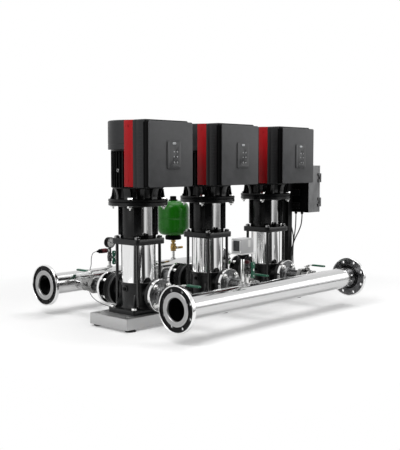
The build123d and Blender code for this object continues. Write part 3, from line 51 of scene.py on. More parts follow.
# Places taken from the frame
PUMPS = (1, 2, 3)
PUMP_XS = [(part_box(f"rotor_{n}")[0].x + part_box(f"rotor_{n}")[1].x) / 2 for n in PUMPS]
ROW_Y = (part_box("rotor_1")[0].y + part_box("rotor_1")[1].y) / 2
FRAME_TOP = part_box("base_frame")[1].z
SLEEVE_LOW, SLEEVE_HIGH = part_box("outer_sleeves")
STOOL_LOW, STOOL_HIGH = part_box("motor_stools")
FAN_LOW, FAN_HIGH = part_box("fan_covers")
COVER_LOW, COVER_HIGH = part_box("front_covers")
HOUSING_LOW, HOUSING_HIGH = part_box("converter_housings")
BAND_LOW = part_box("side_bands")[0]
SUCTION_LOW, SUCTION_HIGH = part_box("suction_header")
DISCHARGE_LOW, DISCHARGE_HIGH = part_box("discharge_header")
TANK_LOW, TANK_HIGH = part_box("diaphragm_tank")
SWITCH_LOW, SWITCH_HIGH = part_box("pressure_switch")
CABINET_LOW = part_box("cabinet_body")[0]
CASTING_TOP = SLEEVE_LOW.z
SLEEVE_TOP = SLEEVE_HIGH.z
HEAD_TOP = STOOL_LOW.z
STOOL_TOP = STOOL_HIGH.z
COVER_Z = FAN_LOW.z

# Sizes that the frame's boxes don't give, as in the part's source
PORT_RISE = 0.096
PORT_Z = FRAME_TOP + PORT_RISE
PORT_FACE = 0.15
MOTOR_FLANGE = 0.014
HEADER_R = 0.05715
HEADER_BORE = HEADER_R - 0.003
BRANCH_R = 0.03015
BRANCH_BORE = 0.02715
PORT_BOLT_CIRCLE = 0.125
MOTOR_BOLT_R = 0.133
FAN_NOTCH_R = 0.1502
WING_REACH = 0.032
SUCTION_Y = ROW_Y - 0.49
DISCHARGE_Y = ROW_Y + 0.533
HEADER_TOP = PORT_Z + HEADER_R
SUCTION_VALVE = 0.307
DISCHARGE_VALVE = 0.375
STAY_OFFSET = 0.076
MIDDLE_X = PUMP_XS[1]
MOTOR_BODY_Z = STOOL_TOP + MOTOR_FLANGE


# Mesh helpers

def facing(direction, x=0.0, y=0.0, z=0.0):
    """A place whose own Z points the given way."""
    turns = {
        "+Z": Matrix.Identity(4),
        "-Z": Matrix.Rotation(pi, 4, "X"),
        "+Y": Matrix.Rotation(-pi / 2, 4, "X"),
        "-Y": Matrix.Rotation(pi / 2, 4, "X"),
        "+X": Matrix.Rotation(pi / 2, 4, "Y"),
        "-X": Matrix.Rotation(-pi / 2, 4, "Y"),
    }
    return Matrix.Translation((x, y, z)) @ turns[direction]


def put_in(target, part, where, finish=0):
    """Close a finished shape, turn its faces outwards and add it to a piece."""
    bmesh.ops.remove_doubles(part, verts=part.verts, dist=2e-6)
    bmesh.ops.recalc_face_normals(part, faces=part.faces)
    bmesh.ops.transform(part, matrix=where, verts=part.verts)
    for face in part.faces:
        face.material_index = finish
    add_mesh(target, part)


def revolved(outline, steps):
    """Spin an outline of (radius, height) points about Z."""
    part = bmesh.new()
    verts = [part.verts.new((r, 0, h)) for r, h in outline]
    edges = [part.edges.new(pair) for pair in zip(verts, verts[1:])]
    bmesh.ops.spin(part, geom=verts + edges, cent=(0, 0, 0), axis=(0, 0, 1), angle=2 * pi,
                   steps=steps, use_merge=True)
    return part


def turned(target, outline, where, steps=48, finish=0):
    """A turned shape, round the place's Z."""
    put_in(target, revolved(outline, steps), where, finish)


def profile(base, *points):
    """An outline of (radius, height) points in millimetres, raised by a base height."""
    return [(r * MM, base + h * MM) for r, h in points]


def rounded(part, edges, width, steps=2):
    """Round the given edges."""
    bmesh.ops.bevel(part, geom=edges, offset=width, segments=steps, profile=0.5, affect="EDGES",
                    clamp_overlap=True, material=-1)


def around(angle):
    """A turn about Z."""
    return Matrix.Rotation(radians(angle), 4, "Z")


def raised(place, height):
    """A place moved along its own Z."""
    return place @ Matrix.Translation((0, 0, height))


def web_place(angle, height):
    """A place whose X runs out from the pump's axis and whose Y is up."""
    return around(angle) @ Matrix(((1, 0, 0, 0), (0, 0, 1, 0), (0, 1, 0, height), (0, 0, 0, 1)))


def add_mesh(target, part):
    """Add one mesh in the making to another, and let go of it."""
    carrier = bpy.data.meshes.new("carrier")
    part.to_mesh(carrier)
    part.free()
    target.from_mesh(carrier)
    bpy.data.meshes.remove(carrier)


def disc(radius, low, high, soft=0.001):
    """The outline of a round body with softened rims."""
    inner, corner = radius - soft, soft * 0.3
    return [(0, low), (inner, low), (radius - corner, low + corner), (radius, low + soft),
            (radius, high - soft), (radius - corner, high - corner), (inner, high), (0, high)]


def ring(inner, outer, low, high, soft=0.001):
    """The closed outline of a ring with softened rims."""
    return [(inner, low + soft), (inner + soft, low), (outer - soft, low), (outer, low + soft),
            (outer, high - soft), (outer - soft, high), (inner + soft, high),
            (inner, high - soft), (inner, low + soft)]


def block(target, low, high, where, soft=0.002, steps=2, finish=0):
    """A box between two corners, with rounded edges."""
    part = bmesh.new()
    bmesh.ops.create_cube(part, size=1)
    low, high = Vector(low), Vector(high)
    bmesh.ops.scale(part, vec=high - low, verts=part.verts)
    bmesh.ops.translate(part, vec=(high + low) / 2, verts=part.verts)
    if soft:
        rounded(part, part.edges[:], soft, steps)
    put_in(target, part, where, finish)


def plate(target, width, depth, height, corner, where, soft=0.001, finish=0, steps=6):
    """A plate with round corners, standing on the place, with softened rims."""
    part = bmesh.new()
    bmesh.ops.create_cube(part, size=1)
    bmesh.ops.scale(part, vec=(width, depth, height), verts=part.verts)
    bmesh.ops.translate(part, vec=(0, 0, height / 2), verts=part.verts)
    upright = [e for e in part.edges if abs(e.verts[0].co.z - e.verts[1].co.z) > height / 2]
    rounded(part, upright, corner, steps)
    if soft:
        level = [e for e in part.edges if abs(e.verts[0].co.z - e.verts[1].co.z) < 1e-7]
        rims = [e for e in level if len(e.link_faces) == 2 and e.calc_face_angle() > 1]
        rounded(part, rims, soft)
    put_in(target, part, where, finish)


def hexagon(target, flats, height, where, finish=0, turn=0.0):
    """A hexagon head with its crown chamfered round."""
    part = bmesh.new()
    corner = flats / sqrt(3)
    place = Matrix.Translation((0, 0, height / 2)) @ Matrix.Rotation(turn, 4, "Z")
    bmesh.ops.create_cone(part, cap_ends=True, segments=6, radius1=corner, radius2=corner,
                          depth=height, matrix=place)
    crown = [e for e in part.edges if all(v.co.z > height * 0.9 for v in e.verts)]
    rounded(part, crown, flats * 0.06)
    put_in(target, part, where, finish)


def bolt(target, flats, height, where, finish=0, turn=0.0):
    """A bolt head on its washer."""
    washer = height * 0.2
    turned(target, disc(flats * 0.62, 0, washer, flats * 0.02), where, 24, finish)
    head = raised(where, washer)
    hexagon(target, flats, height - washer, head, finish, turn)


def piece(node, mesh_work, finishes, body=SET):
    """Make an object of a finished piece, riding on its body in place of its CAD node."""
    stands_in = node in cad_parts
    name = f"{node}_finished" if stands_in else node
    mesh = bpy.data.meshes.new(name)
    mesh_work.to_mesh(mesh)
    mesh_work.free()
    for polygon in mesh.polygons:
        polygon.use_smooth = True
    mesh.set_sharp_from_angle(angle=radians(32))
    for finish in finishes:
        mesh.materials.append(finish)
    made = bpy.data.objects.new(name, mesh)
    bpy.context.scene.collection.objects.link(made)
    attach(made, body)
    if stands_in:
        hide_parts(node)
    return made


def at_pumps(one):
    """Copy one pump's piece, made about the pump's axis, to every pump."""
    carrier = bpy.data.meshes.new("carrier")
    one.to_mesh(carrier)
    one.free()
    row = bmesh.new()
    for x in PUMP_XS:
        copy = carrier.copy()
        copy.transform(Matrix.Translation((x, ROW_Y, 0)))
        row.from_mesh(copy)
        bpy.data.meshes.remove(copy)
    bpy.data.meshes.remove(carrier)
    return row


def softened(node, width, finishes, body=SET):
    """A CAD node's shape with its sharp edges rounded."""
    work = bmesh.new()
    work.from_mesh(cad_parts[node].data)
    bmesh.ops.remove_doubles(work, verts=work.verts, dist=1e-5)
    bmesh.ops.dissolve_limit(work, angle_limit=radians(0.5), verts=work.verts, edges=work.edges)
    sharp_edges = [
        e for e in work.edges if len(e.link_faces) == 2 and e.calc_face_angle() > radians(30)
    ]
    rounded(work, sharp_edges, width)
    for face in work.faces:
        face.material_index = 0
    return piece(node, work, finishes, body)


# Node groups for effects that several finishes share

def new_group(name, inputs, outputs):
    group = bpy.data.node_groups.new(name, "ShaderNodeTree")
    for label, value in inputs:
        kind = "NodeSocketVector" if isinstance(value, tuple) else "NodeSocketFloat"
        socket = group.interface.new_socket(label, in_out="INPUT", socket_type=kind)
        socket.default_value = value
    for label in outputs:
        group.interface.new_socket(label, in_out="OUTPUT", socket_type="NodeSocketFloat")
    return group, group.nodes.new("NodeGroupInput"), group.nodes.new("NodeGroupOutput")


def math_node(tree, operation, first, second=None, clamp=False):
    node = tree.nodes.new("ShaderNodeMath")
    node.operation = operation
    node.use_clamp = clamp
    for socket, value in ((node.inputs[0], first), (node.inputs[1], second)):
        if value is None:
            continue
        if isinstance(value, (int, float)):
            socket.default_value = value
        else:
            tree.links.new(value, socket)
    return node.outputs[0]


def noise_node(tree, vector, scale, detail=3.0, roughness=0.55):
    node = tree.nodes.new("ShaderNodeTexNoise")
    tree.links.new(vector, node.inputs["Vector"])
    if isinstance(scale, (int, float)):
        node.inputs["Scale"].default_value = scale
    else:
        tree.links.new(scale, node.inputs["Scale"])
    node.inputs["Detail"].default_value = detail
    node.inputs["Roughness"].default_value = roughness
    return node.outputs["Fac"]


def spread_node(tree, value, low, high, out_low=0.0, out_high=1.0):
    node = tree.nodes.new("ShaderNodeMapRange")
    node.inputs["From Min"].default_value = low
    node.inputs["From Max"].default_value = high
    node.inputs["To Min"].default_value = out_low
    node.inputs["To Max"].default_value = out_high
    tree.links.new(value, node.inputs["Value"])
    return node.outputs["Result"]


def object_point(tree):
    return tree.nodes.new("ShaderNodeTexCoord").outputs["Object"]


def make_edge_group():
    """Where an edge is worn: the rounded normal against the true one."""
    group, given, out = new_group("worn_edge", [("Radius", 0.0015), ("Amount", 1.0)], ["Mask"])
    bevel = group.nodes.new("ShaderNodeBevel")
    bevel.samples = 4
    group.links.new(given.outputs["Radius"], bevel.inputs["Radius"])
    geometry = group.nodes.new("ShaderNodeNewGeometry")
    dot = group.nodes.new("ShaderNodeVectorMath")
    dot.operation = "DOT_PRODUCT"
    group.links.new(bevel.outputs["Normal"], dot.inputs[0])
    group.links.new(geometry.outputs["Normal"], dot.inputs[1])
    edge = spread_node(group, dot.outputs["Value"], 0.98, 0.75)
    patches = noise_node(group, object_point(group), 60.0, 5.0)
    worn = math_node(group, "MULTIPLY", edge, spread_node(group, patches, 0.42, 0.68))
    worn = math_node(group, "MULTIPLY", worn, given.outputs["Amount"], True)
    group.links.new(worn, out.inputs["Mask"])
    return group


def make_skin_group():
    """Fine orange peel and small pits of a cast or painted surface."""
    group, given, out = new_group("casting_skin", [("Grain", 600.0), ("Blotch", 14.0)],
                                  ["Height", "Tone"])
    point = object_point(group)
    grain = noise_node(group, point, given.outputs["Grain"], 4.0, 0.6)
    blotch = noise_node(group, point, given.outputs["Blotch"], 5.0, 0.6)
    height = math_node(group, "ADD", grain, math_node(group, "MULTIPLY", blotch, 0.6))
    group.links.new(height, out.inputs["Height"])
    group.links.new(spread_node(group, blotch, 0.3, 0.7), out.inputs["Tone"])
    return group


def make_dust_group():
    """Dust on faces that look up."""
    group, given, out = new_group("settled_dust", [("Amount", 0.5)], ["Mask"])
    geometry = group.nodes.new("ShaderNodeNewGeometry")
    parts = group.nodes.new("ShaderNodeSeparateXYZ")
    group.links.new(geometry.outputs["Normal"], parts.inputs[0])
    upward = spread_node(group, parts.outputs["Z"], 0.55, 1.0)
    clumps = noise_node(group, object_point(group), 25.0, 6.0, 0.65)
    dust = math_node(group, "MULTIPLY", upward, spread_node(group, clumps, 0.3, 0.75))
    dust = math_node(group, "MULTIPLY", dust, given.outputs["Amount"], True)
    group.links.new(dust, out.inputs["Mask"])
    return group


def make_brush_group():
    """Long fine lines of brushed or drawn metal, along one axis."""
    group, given, out = new_group(
        "brush_lines", [("Stretch", (1.0, 1.0, 1.0)), ("Scale", 120.0)], ["Lines", "Cloud"]
    )
    point = object_point(group)
    multiply = group.nodes.new("ShaderNodeVectorMath")
    multiply.operation = "MULTIPLY"
    group.links.new(point, multiply.inputs[0])
    group.links.new(given.outputs["Stretch"], multiply.inputs[1])
    lines = noise_node(group, multiply.outputs["Vector"], given.outputs["Scale"], 6.0, 0.7)
    cloud = noise_node(group, point, 9.0, 4.0, 0.55)
    group.links.new(lines, out.inputs["Lines"])
    group.links.new(spread_node(group, cloud, 0.3, 0.7), out.inputs["Cloud"])
    return group


WORN_EDGE = make_edge_group()
CASTING_SKIN = make_skin_group()
SETTLED_DUST = make_dust_group()
BRUSH_LINES = make_brush_group()


def use_group(tree, group, **values):
    node = tree.nodes.new("ShaderNodeGroup")
    node.node_tree = group
    for label, value in values.items():
        node.inputs[label].default_value = value
    return node


def mixed(tree, mask, first, second):
    """A colour between two, by a mask; each is a socket or a plain colour."""
    node = tree.nodes.new("ShaderNodeMix")
    node.data_type = "RGBA"
    tree.links.new(mask, node.inputs["Factor"])
    for socket, value in ((node.inputs[6], first), (node.inputs[7], second)):
        if isinstance(value, (tuple, list)):
            socket.default_value = (*value[:3], 1.0)
        else:
            tree.links.new(value, socket)
    return node.outputs[2]


def new_finish(name):
    finish = bpy.data.materials.new(name)
    finish.use_nodes = True
    tree = finish.node_tree
    return finish, tree, tree.nodes["Principled BSDF"]


def bump(tree, shader, height, strength, distance):
    node = tree.nodes.new("ShaderNodeBump")
    node.inputs["Strength"].default_value = strength
    node.inputs["Distance"].default_value = distance
    tree.links.new(height, node.inputs["Height"])
    tree.links.new(node.outputs["Normal"], shader.inputs["Normal"])


def coated(name, colour, rough, grain=600.0, wear=0.0, bare=(0.45, 0.44, 0.42), dust=0.25,
           tone=0.75, relief=0.12, gloss=0.35):
    """Paint, powder coat or moulded plastic, with skin, tone, dust and worn edges."""
    finish, tree, shader = new_finish(name)
    skin = use_group(tree, CASTING_SKIN, Grain=grain)
    dark = tuple(c * tone for c in colour)
    body = mixed(tree, skin.outputs["Tone"], dark, colour)
    dusty = use_group(tree, SETTLED_DUST, Amount=dust)
    body = mixed(tree, dusty.outputs["Mask"], body, (0.42, 0.41, 0.39))
    rough_value = spread_node(tree, skin.outputs["Tone"], 0, 1, rough * 0.85, rough * 1.15)
    if wear:
        worn = use_group(tree, WORN_EDGE, Radius=0.0012, Amount=wear)
        body = mixed(tree, worn.outputs["Mask"], body, bare)
    tree.links.new(body, shader.inputs["Base Color"])
    tree.links.new(rough_value, shader.inputs["Roughness"])
    shader.inputs["Specular IOR Level"].default_value = gloss
    bump(tree, shader, skin.outputs["Height"], relief, 0.0004)
    return finish


def metallic(name, colour, rough, stretch=(1, 1, 1), scale=120.0, tone=0.82, relief=0.05):
    """Bare metal with fine lines along one axis and a cloudy polish."""
    finish, tree, shader = new_finish(name)
    lines = use_group(tree, BRUSH_LINES, Stretch=stretch, Scale=scale)
    dark = tuple(c * tone for c in colour)
    line_mask = spread_node(tree, lines.outputs["Lines"], 0.35, 0.65)
    body = mixed(tree, line_mask, dark, colour)
    tree.links.new(body, shader.inputs["Base Color"])
    shader.inputs["Metallic"].default_value = 1.0
    fine = math_node(tree, "MULTIPLY", line_mask, 0.6)
    cloudy = math_node(tree, "MULTIPLY", lines.outputs["Cloud"], 0.4)
    blend = math_node(tree, "ADD", fine, cloudy)
    rough_value = spread_node(tree, blend, 0, 1, rough * 0.65, rough * 1.35)
    tree.links.new(rough_value, shader.inputs["Roughness"])
    bump(tree, shader, lines.outputs["Lines"], relief, 0.0002)
    return finish


ALONG_X = (0.02, 1.0, 1.0)
ALONG_Y = (1.0, 0.02, 1.0)
ALONG_Z = (1.0, 1.0, 0.02)

casting_black = coated("casting_black", (0.0065, 0.0068, 0.0072), 0.3, 420, 0.15, dust=0.02,
                       relief=0.22, gloss=0.3)
valve_black = coated("valve_black", (0.003, 0.0031, 0.0034), 0.26, 420, 0.1, dust=0.01,
                     relief=0.15, gloss=0.08)
motor_black = coated("motor_black", (0.004, 0.0042, 0.0046), 0.32, 500, 0.08, dust=0.02,
                     relief=0.2, gloss=0.12)
stool_black = coated("stool_black", (0.005, 0.0052, 0.0056), 0.28, 420, 0.1, dust=0.02,
                     relief=0.2, gloss=0.2)
hood_grey = coated("hood_grey", (0.029, 0.0295, 0.031), 0.42, 900, 0.05, dust=0.04, relief=0.15,
                   gloss=0.2)
shell_grey = coated("shell_grey", (0.015, 0.0154, 0.0165), 0.45, 1400, dust=0.03, relief=0.18,
                    gloss=0.2)
face_grey = coated("face_grey", (0.088, 0.089, 0.092), 0.42, 1500, dust=0.02, relief=0.14,
                   gloss=0.2)
trim_black = coated("trim_black", (0.002, 0.002, 0.0022), 0.5, 900, dust=0.01, relief=0.1,
                    gloss=0.03)
band_red = coated("band_red", (0.42, 0.009, 0.013), 0.36, 1200, dust=0.01, tone=0.88, relief=0.06,
                  gloss=0.12)
panel_grey = coated("panel_grey", (0.066, 0.067, 0.069), 0.3, 1500, dust=0.01, relief=0.05,
                    gloss=0.2)
key_grey = coated("key_grey", (0.075, 0.076, 0.078), 0.5, 1400, dust=0.01, relief=0.12, gloss=0.2)
mark_grey = coated("mark_grey", (0.55, 0.56, 0.57), 0.4, 1400, dust=0.0, relief=0.02)
lens_grey = coated("lens_grey", (0.5, 0.52, 0.53), 0.2, 900, dust=0.0, relief=0.02, gloss=0.5)
rubber_black = coated("rubber_black", (0.008, 0.008, 0.009), 0.7, 700, dust=0.15, relief=0.3)
tank_green = coated("tank_green", (0.008, 0.135, 0.003), 0.26, 700, dust=0.01, tone=0.9,
                    relief=0.03, gloss=0.22)
lever_green = coated("lever_green", (0.004, 0.1, 0.052), 0.38, 900, dust=0.03, relief=0.06)
cap_red = coated("cap_red", (0.085, 0.006, 0.01), 0.4, 900, dust=0.02, relief=0.1)
switch_grey = coated("switch_grey", (0.52, 0.522, 0.526), 0.42, 1200, dust=0.03, tone=0.85,
                     relief=0.12)
window_grey = coated("window_grey", (0.052, 0.053, 0.055), 0.3, 1200, dust=0.0, relief=0.05,
                     gloss=0.1)
cabinet_grey = coated("cabinet_grey", (0.28, 0.282, 0.286), 0.5, 1100, 0.1, dust=0.03,
                      relief=0.2, gloss=0.25)
# Painted shade: black for the cabinet body's faces toward the pumps, which lie in shade
cabinet_shade_black = coated("cabinet_shade_black", (0.003, 0.003, 0.0033), 0.5, 1100, 0.05, dust=0.02, relief=0.2,
                   gloss=0.08)
post_grey = coated("post_grey", (0.006, 0.006, 0.0065), 0.45, 900, 0.05, dust=0.02, relief=0.15,
                   gloss=0.12)
dial_white = coated("dial_white", (0.75, 0.75, 0.74), 0.4, 900, dust=0.0, tone=0.95, relief=0.02)
sheath_grey = coated("sheath_grey", (0.1, 0.1, 0.105), 0.5, 900, dust=0.02, relief=0.08)
cable_black = coated("cable_black", (0.005, 0.005, 0.0055), 0.42, 900, dust=0.02, relief=0.08)
# Painted shade: black for the loose flanges' inner slope, holed web and lip, where the recess lies
# in shade
flange_shade_black = coated("flange_shade_black", (0.0035, 0.0035, 0.004), 0.3, 600, dust=0.0, relief=0.15,
                   gloss=0.1)

frame_steel = metallic("frame_steel", (0.47, 0.47, 0.47), 0.42, ALONG_X, 260, 0.9, 0.05)
pipe_steel = metallic("pipe_steel", (0.64, 0.64, 0.64), 0.15, ALONG_X, 260, 0.85, 0.02)
branch_steel = metallic("branch_steel", (0.44, 0.44, 0.44), 0.18, ALONG_Y, 260, 0.7, 0.03)
sleeve_steel = metallic("sleeve_steel", (0.84, 0.84, 0.84), 0.07, ALONG_Z, 400, 0.85, 0.006)
guard_steel = metallic("guard_steel", (0.72, 0.72, 0.72), 0.14, ALONG_Z, 400, 0.8, 0.01)
collar_steel = metallic("collar_steel", (0.46, 0.46, 0.46), 0.36, (1, 1, 1), 300, 0.9, 0.03)
rim_steel = metallic("rim_steel", (0.84, 0.84, 0.84), 0.12, (1, 1, 1), 200, 0.9, 0.02)
back_steel = metallic("back_steel", (0.17, 0.17, 0.175), 0.28, (1, 1, 1), 60, 0.45, 0.06)
zinc_steel = metallic("zinc_steel", (0.2, 0.202, 0.205), 0.3, (1, 1, 1), 70, 0.6, 0.1)
nut_steel = metallic("nut_steel", (0.34, 0.34, 0.34), 0.22, (1, 1, 1), 300, 0.6, 0.04)
bolt_steel = metallic("bolt_steel", (0.78, 0.78, 0.77), 0.18, (1, 1, 1), 500, 0.85, 0.04)
rod_steel = metallic("rod_steel", (0.06, 0.06, 0.06), 0.22, ALONG_Z, 200, 0.7, 0.03)
inner_steel = metallic("inner_steel", (0.5, 0.5, 0.5), 0.35, ALONG_Z, 200, 0.8, 0.05)
valve_nickel = metallic("valve_nickel", (0.34, 0.34, 0.335), 0.22, (1, 1, 1), 60, 0.5, 0.05)
valve_dark = metallic("valve_dark", (0.11, 0.11, 0.11), 0.28, (1, 1, 1), 60, 0.6, 0.05)
valve_brass = metallic("valve_brass", (0.42, 0.27, 0.09), 0.28, (1, 1, 1), 80, 0.55, 0.06)


# More shapes

def thickened(part, flat, height):
    """Give flat faces a height along Z."""
    lifted = bmesh.ops.extrude_face_region(part, geom=flat)["geom"]
    lifted = [item for item in lifted if isinstance(item, bmesh.types.BMVert)]
    bmesh.ops.translate(part, vec=(0, 0, height), verts=lifted)


def extruded(target, points, low, high, where, soft=0.0, finish=0, steps=2):
    """A flat outline raised over the place from low to high, with rounded edges."""
    part = bmesh.new()
    base = part.faces.new([part.verts.new((x, y, low)) for x, y in points])
    thickened(part, [base], high - low)
    bmesh.ops.recalc_face_normals(part, faces=part.faces)
    if soft:
        edges = [e for e in part.edges if e.calc_face_angle() > radians(25)]
        rounded(part, edges, soft, steps)
    put_in(target, part, where, finish)


def arc(radius, start, end, steps, x=0.0, y=0.0):
    """Points of an arc, by its angles in degrees."""
    turns = [radians(start + (end - start) * i / steps) for i in range(steps + 1)]
    return [(x + radius * cos(t), y + radius * sin(t)) for t in turns]


def sector(inner, outer, start, end, steps=10):
    """The outline of a piece of a ring."""
    return arc(outer, start, end, steps) + arc(inner, end, start, steps)


def bead(target, path, radius, where, finish=2):
    """A round bead along a closed path of points, as a weld lies."""
    part = bmesh.new()
    points = [Vector(p) for p in path]
    turns = [pi / 4 * k for k in range(8)]
    rings = []
    across = None
    for before, point, after in zip(points[-1:] + points, points, points[1:] + points[:1]):
        way = (after - before).normalized()
        across = across or way.orthogonal().normalized()
        across = (across - way * across.dot(way)).normalized()
        other = way.cross(across)
        rings.append([part.verts.new(point + across * radius * cos(t) + other * radius * sin(t))
                      for t in turns])
    for one, two in zip(rings, rings[1:] + rings[:1]):
        for k in range(8):
            part.faces.new((one[k - 1], one[k], two[k], two[k - 1]))
    put_in(target, part, where, finish)


def rod(target, start, end, radius):
    """A thin round bar between two points."""
    part = bmesh.new()
    start, end = Vector(start), Vector(end)
    way = end - start
    bmesh.ops.create_cone(part, cap_ends=True, segments=8, radius1=radius, radius2=radius,
                          depth=way.length)
    turn = way.to_track_quat("Z", "Y").to_matrix().to_4x4()
    put_in(target, part, Matrix.Translation((start + end) / 2) @ turn)


def threaded(radius, low, high, pitch=0.002, depth=0.0006):
    """The outline of a threaded end, as fine rings."""
    turns = int((high - low) / pitch)
    outline = [(0, low)]
    for i in range(turns):
        outline += [(radius - depth, low + i * pitch), (radius, low + (i + 0.5) * pitch)]
    return outline + [(radius - depth, high - 0.0005), (radius - 0.0015, high), (0, high)]


def holed_ring(target, inner, outer, low, high, hole, pitch_r, count, where, finish=0):
    """A ring with a circle of round holes through it."""
    part = bmesh.new()
    half = 180 / count
    sides = [inner * 0.67 + outer * 0.33, inner * 0.33 + outer * 0.67]
    rim = arc(outer, -half, half, 6) + [arc(r, half, half, 1)[0] for r in reversed(sides)]
    rim += arc(inner, half, -half, 6) + [arc(r, -half, -half, 1)[0] for r in sides]
    centre = Vector((pitch_r, 0))
    eye = [centre + (Vector(point) - centre).normalized() * hole for point in rim]
    loops = [[part.verts.new((x, y, low)) for x, y in one] for one in (rim, eye)]
    edges = [part.edges.new(pair) for one in loops for pair in zip(one, one[1:] + one[:1])]
    bmesh.ops.bridge_loops(part, edges=edges)
    flat = part.verts[:] + part.edges[:] + part.faces[:]
    bmesh.ops.spin(part, geom=flat, cent=(0, 0, 0), axis=(0, 0, 1), steps=count - 1,
                   angle=2 * pi * (count - 1) / count, use_duplicate=True)
    bmesh.ops.rotate(part, matrix=Matrix.Rotation(radians(half), 3, "Z"), verts=part.verts)
    bmesh.ops.remove_doubles(part, verts=part.verts, dist=2e-6)
    thickened(part, part.faces[:], high - low)
    put_in(target, part, where, finish)


def hex_ring(target, flats, inner, low, high, place, finish=0):
    """A hexagon nut with a bore and chamfered corners: a turned ring cut back to its flats."""
    corner = flats / sqrt(3)
    crown = corner * 0.93
    outline = [(inner, low), (crown, low), (corner, low + 0.0025), (corner, high - 0.0025),
               (crown, high), (inner, high), (inner, low)]
    part = revolved(outline, 48)
    for vert in part.verts:
        reach = vert.co.xy.length
        if reach > inner * 1.001:
            lean = atan2(vert.co.y, vert.co.x) % (pi / 3) - pi / 6
            vert.co.xy *= min(1, flats / 2 / cos(lean) / reach)
    put_in(target, part, place, finish)


def cranked(side, x, y, z):
    """A place whose X runs out along the pipe, away from the pump, and whose Y is up."""
    turn = Matrix(((0, 0, side, 0), (side, 0, 0, 0), (0, 1, 0, 0), (0, 0, 0, 1)))
    return Matrix.Translation((x, y, z)) @ turn


UPRIGHT = Matrix.Identity(4)


def saddle(header_r, branch_r, toward):
    """Where a branch meets the round header, about the header's axis."""
    return [(x, toward * sqrt(header_r**2 - z**2), z) for x, z in arc(branch_r, 0, 360, 40)[:-1]]


# Finishes of the CAD nodes that stay hidden or plain

def coat_node(node, finish):
    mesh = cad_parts[node].data
    if mesh.materials:
        for i in range(len(mesh.materials)):
            mesh.materials[i] = finish
    else:
        mesh.materials.append(finish)


coat_node("chamber_stacks", inner_steel)
for n in PUMPS:
    coat_node(f"rotor_{n}", inner_steel)
    coat_node(f"check_poppet_{n}", inner_steel)
softened("control_panels", 0.0016, [panel_grey])

# Base frame and its feet
softened("base_frame", 0.0022, [frame_steel])
work = bmesh.new()
foot = profile(0, (0, 0), (26, 0), (28, 2), (28, 4), (21.5, 8.5), (20, 12), (0, 12))
for i in (-1, 0, 1):
    for j in (-1, 1):
        spot = facing("+Z", MIDDLE_X + i * 0.6825, ROW_Y + j * 0.116, 0)
        turned(work, foot, spot, 36)
piece("machine_feet", work, [rubber_black])

# Pump bases: foot plate, body with ribs, ports with raised rims
work = bmesh.new()
plate(work, 0.248, 0.2, 0.024, 0.02, facing("+Z", 0, 0, FRAME_TOP), 0.003)
body = profile(FRAME_TOP, (0, 20), (110, 22), (97, 26), (91, 34), (89, 44))
body += profile(CASTING_TOP, (89, -18), (90.5, -14), (93.5, -12), (94, -10.5), (94, -1.5),
                (92.5, 0), (88.5, 0), (88.5, -2), (0, -2))
turned(work, body, UPRIGHT, 72)
for side in ("-Y", "+Y"):
    port = facing(side, 0, 0, PORT_Z)
    neck = profile(PORT_FACE, (27, -4), (27, 0), (51, 0), (51.5, -1.5), (81, -1.5), (82.5, -3),
                   (82.5, -18), (81, -20), (56, -21), (49, -26), (46, -36))
    neck += profile(0, (47, 60), (0, 60))
    turned(work, neck, port, 60)
for turn in (35, 145, 215, 325):
    rib = web_place(turn, FRAME_TOP + 0.02)
    corners = profile(0, (70, 0), (118, 0), (118, 4), (92, 75), (70, 80))
    extruded(work, corners, -0.006, 0.006, rib, 0.0015)
for side in ("-X", "+X"):
    plug = facing(side, 0, 0, PORT_Z + 0.026)
    turned(work, disc(0.016, 0.08, 0.094, 0.002), plug, 32)
    hexagon(work, 0.017, 0.008, raised(plug, 0.094), 1)
piece("pump_bases", at_pumps(work), [casting_black, valve_black])

# Outer sleeves with a fine bead at both ends
work = bmesh.new()
sleeve = profile(SLEEVE_LOW.z, (85.5, 0), (88.5, 0), (88.5, 3), (88.2, 5))
sleeve += profile(SLEEVE_TOP, (88.2, -5), (88.5, -3), (88.5, 0), (85.5, 0))
sleeve += profile(SLEEVE_LOW.z, (85.5, 0))
turned(work, sleeve, UPRIGHT, 128)
piece("outer_sleeves", at_pumps(work), [sleeve_steel])

# Pump heads with vent plugs
work = bmesh.new()
plate(work, 0.2, 0.2, HEAD_TOP - SLEEVE_TOP, 0.025, facing("+Z", 0, 0, SLEEVE_TOP), 0.0025,
      steps=10)
plug = facing("+Z", -0.024, -0.09, HEAD_TOP)
turned(work, disc(0.009, 0, 0.006, 0.0008), plug, 32, 1)
hexagon(work, 0.0155, 0.014, raised(plug, 0.006), 1)
turned(work, disc(0.0065, 0.02, 0.028, 0.002), plug, 32, 1)
piece("pump_heads", at_pumps(work), [casting_black, trim_black])

# Stay bolts with nuts and washers
work = bmesh.new()
for x in (-STAY_OFFSET, STAY_OFFSET):
    for y in (-STAY_OFFSET, STAY_OFFSET):
        turned(work, disc(0.008, FRAME_TOP + 0.024, HEAD_TOP, 0.001), facing("+Z", x, y), 24)
        nut = facing("+Z", x, y, HEAD_TOP)
        turned(work, disc(0.0137, 0, 0.0025, 0.0005), nut, 32, 1)
        hexagon(work, 0.024, 0.009, raised(nut, 0.0025), 1)
        turned(work, threaded(0.0078, 0.0105, 0.014), nut, 20, 1)
piece("stay_bolts", at_pumps(work), [rod_steel, nut_steel])

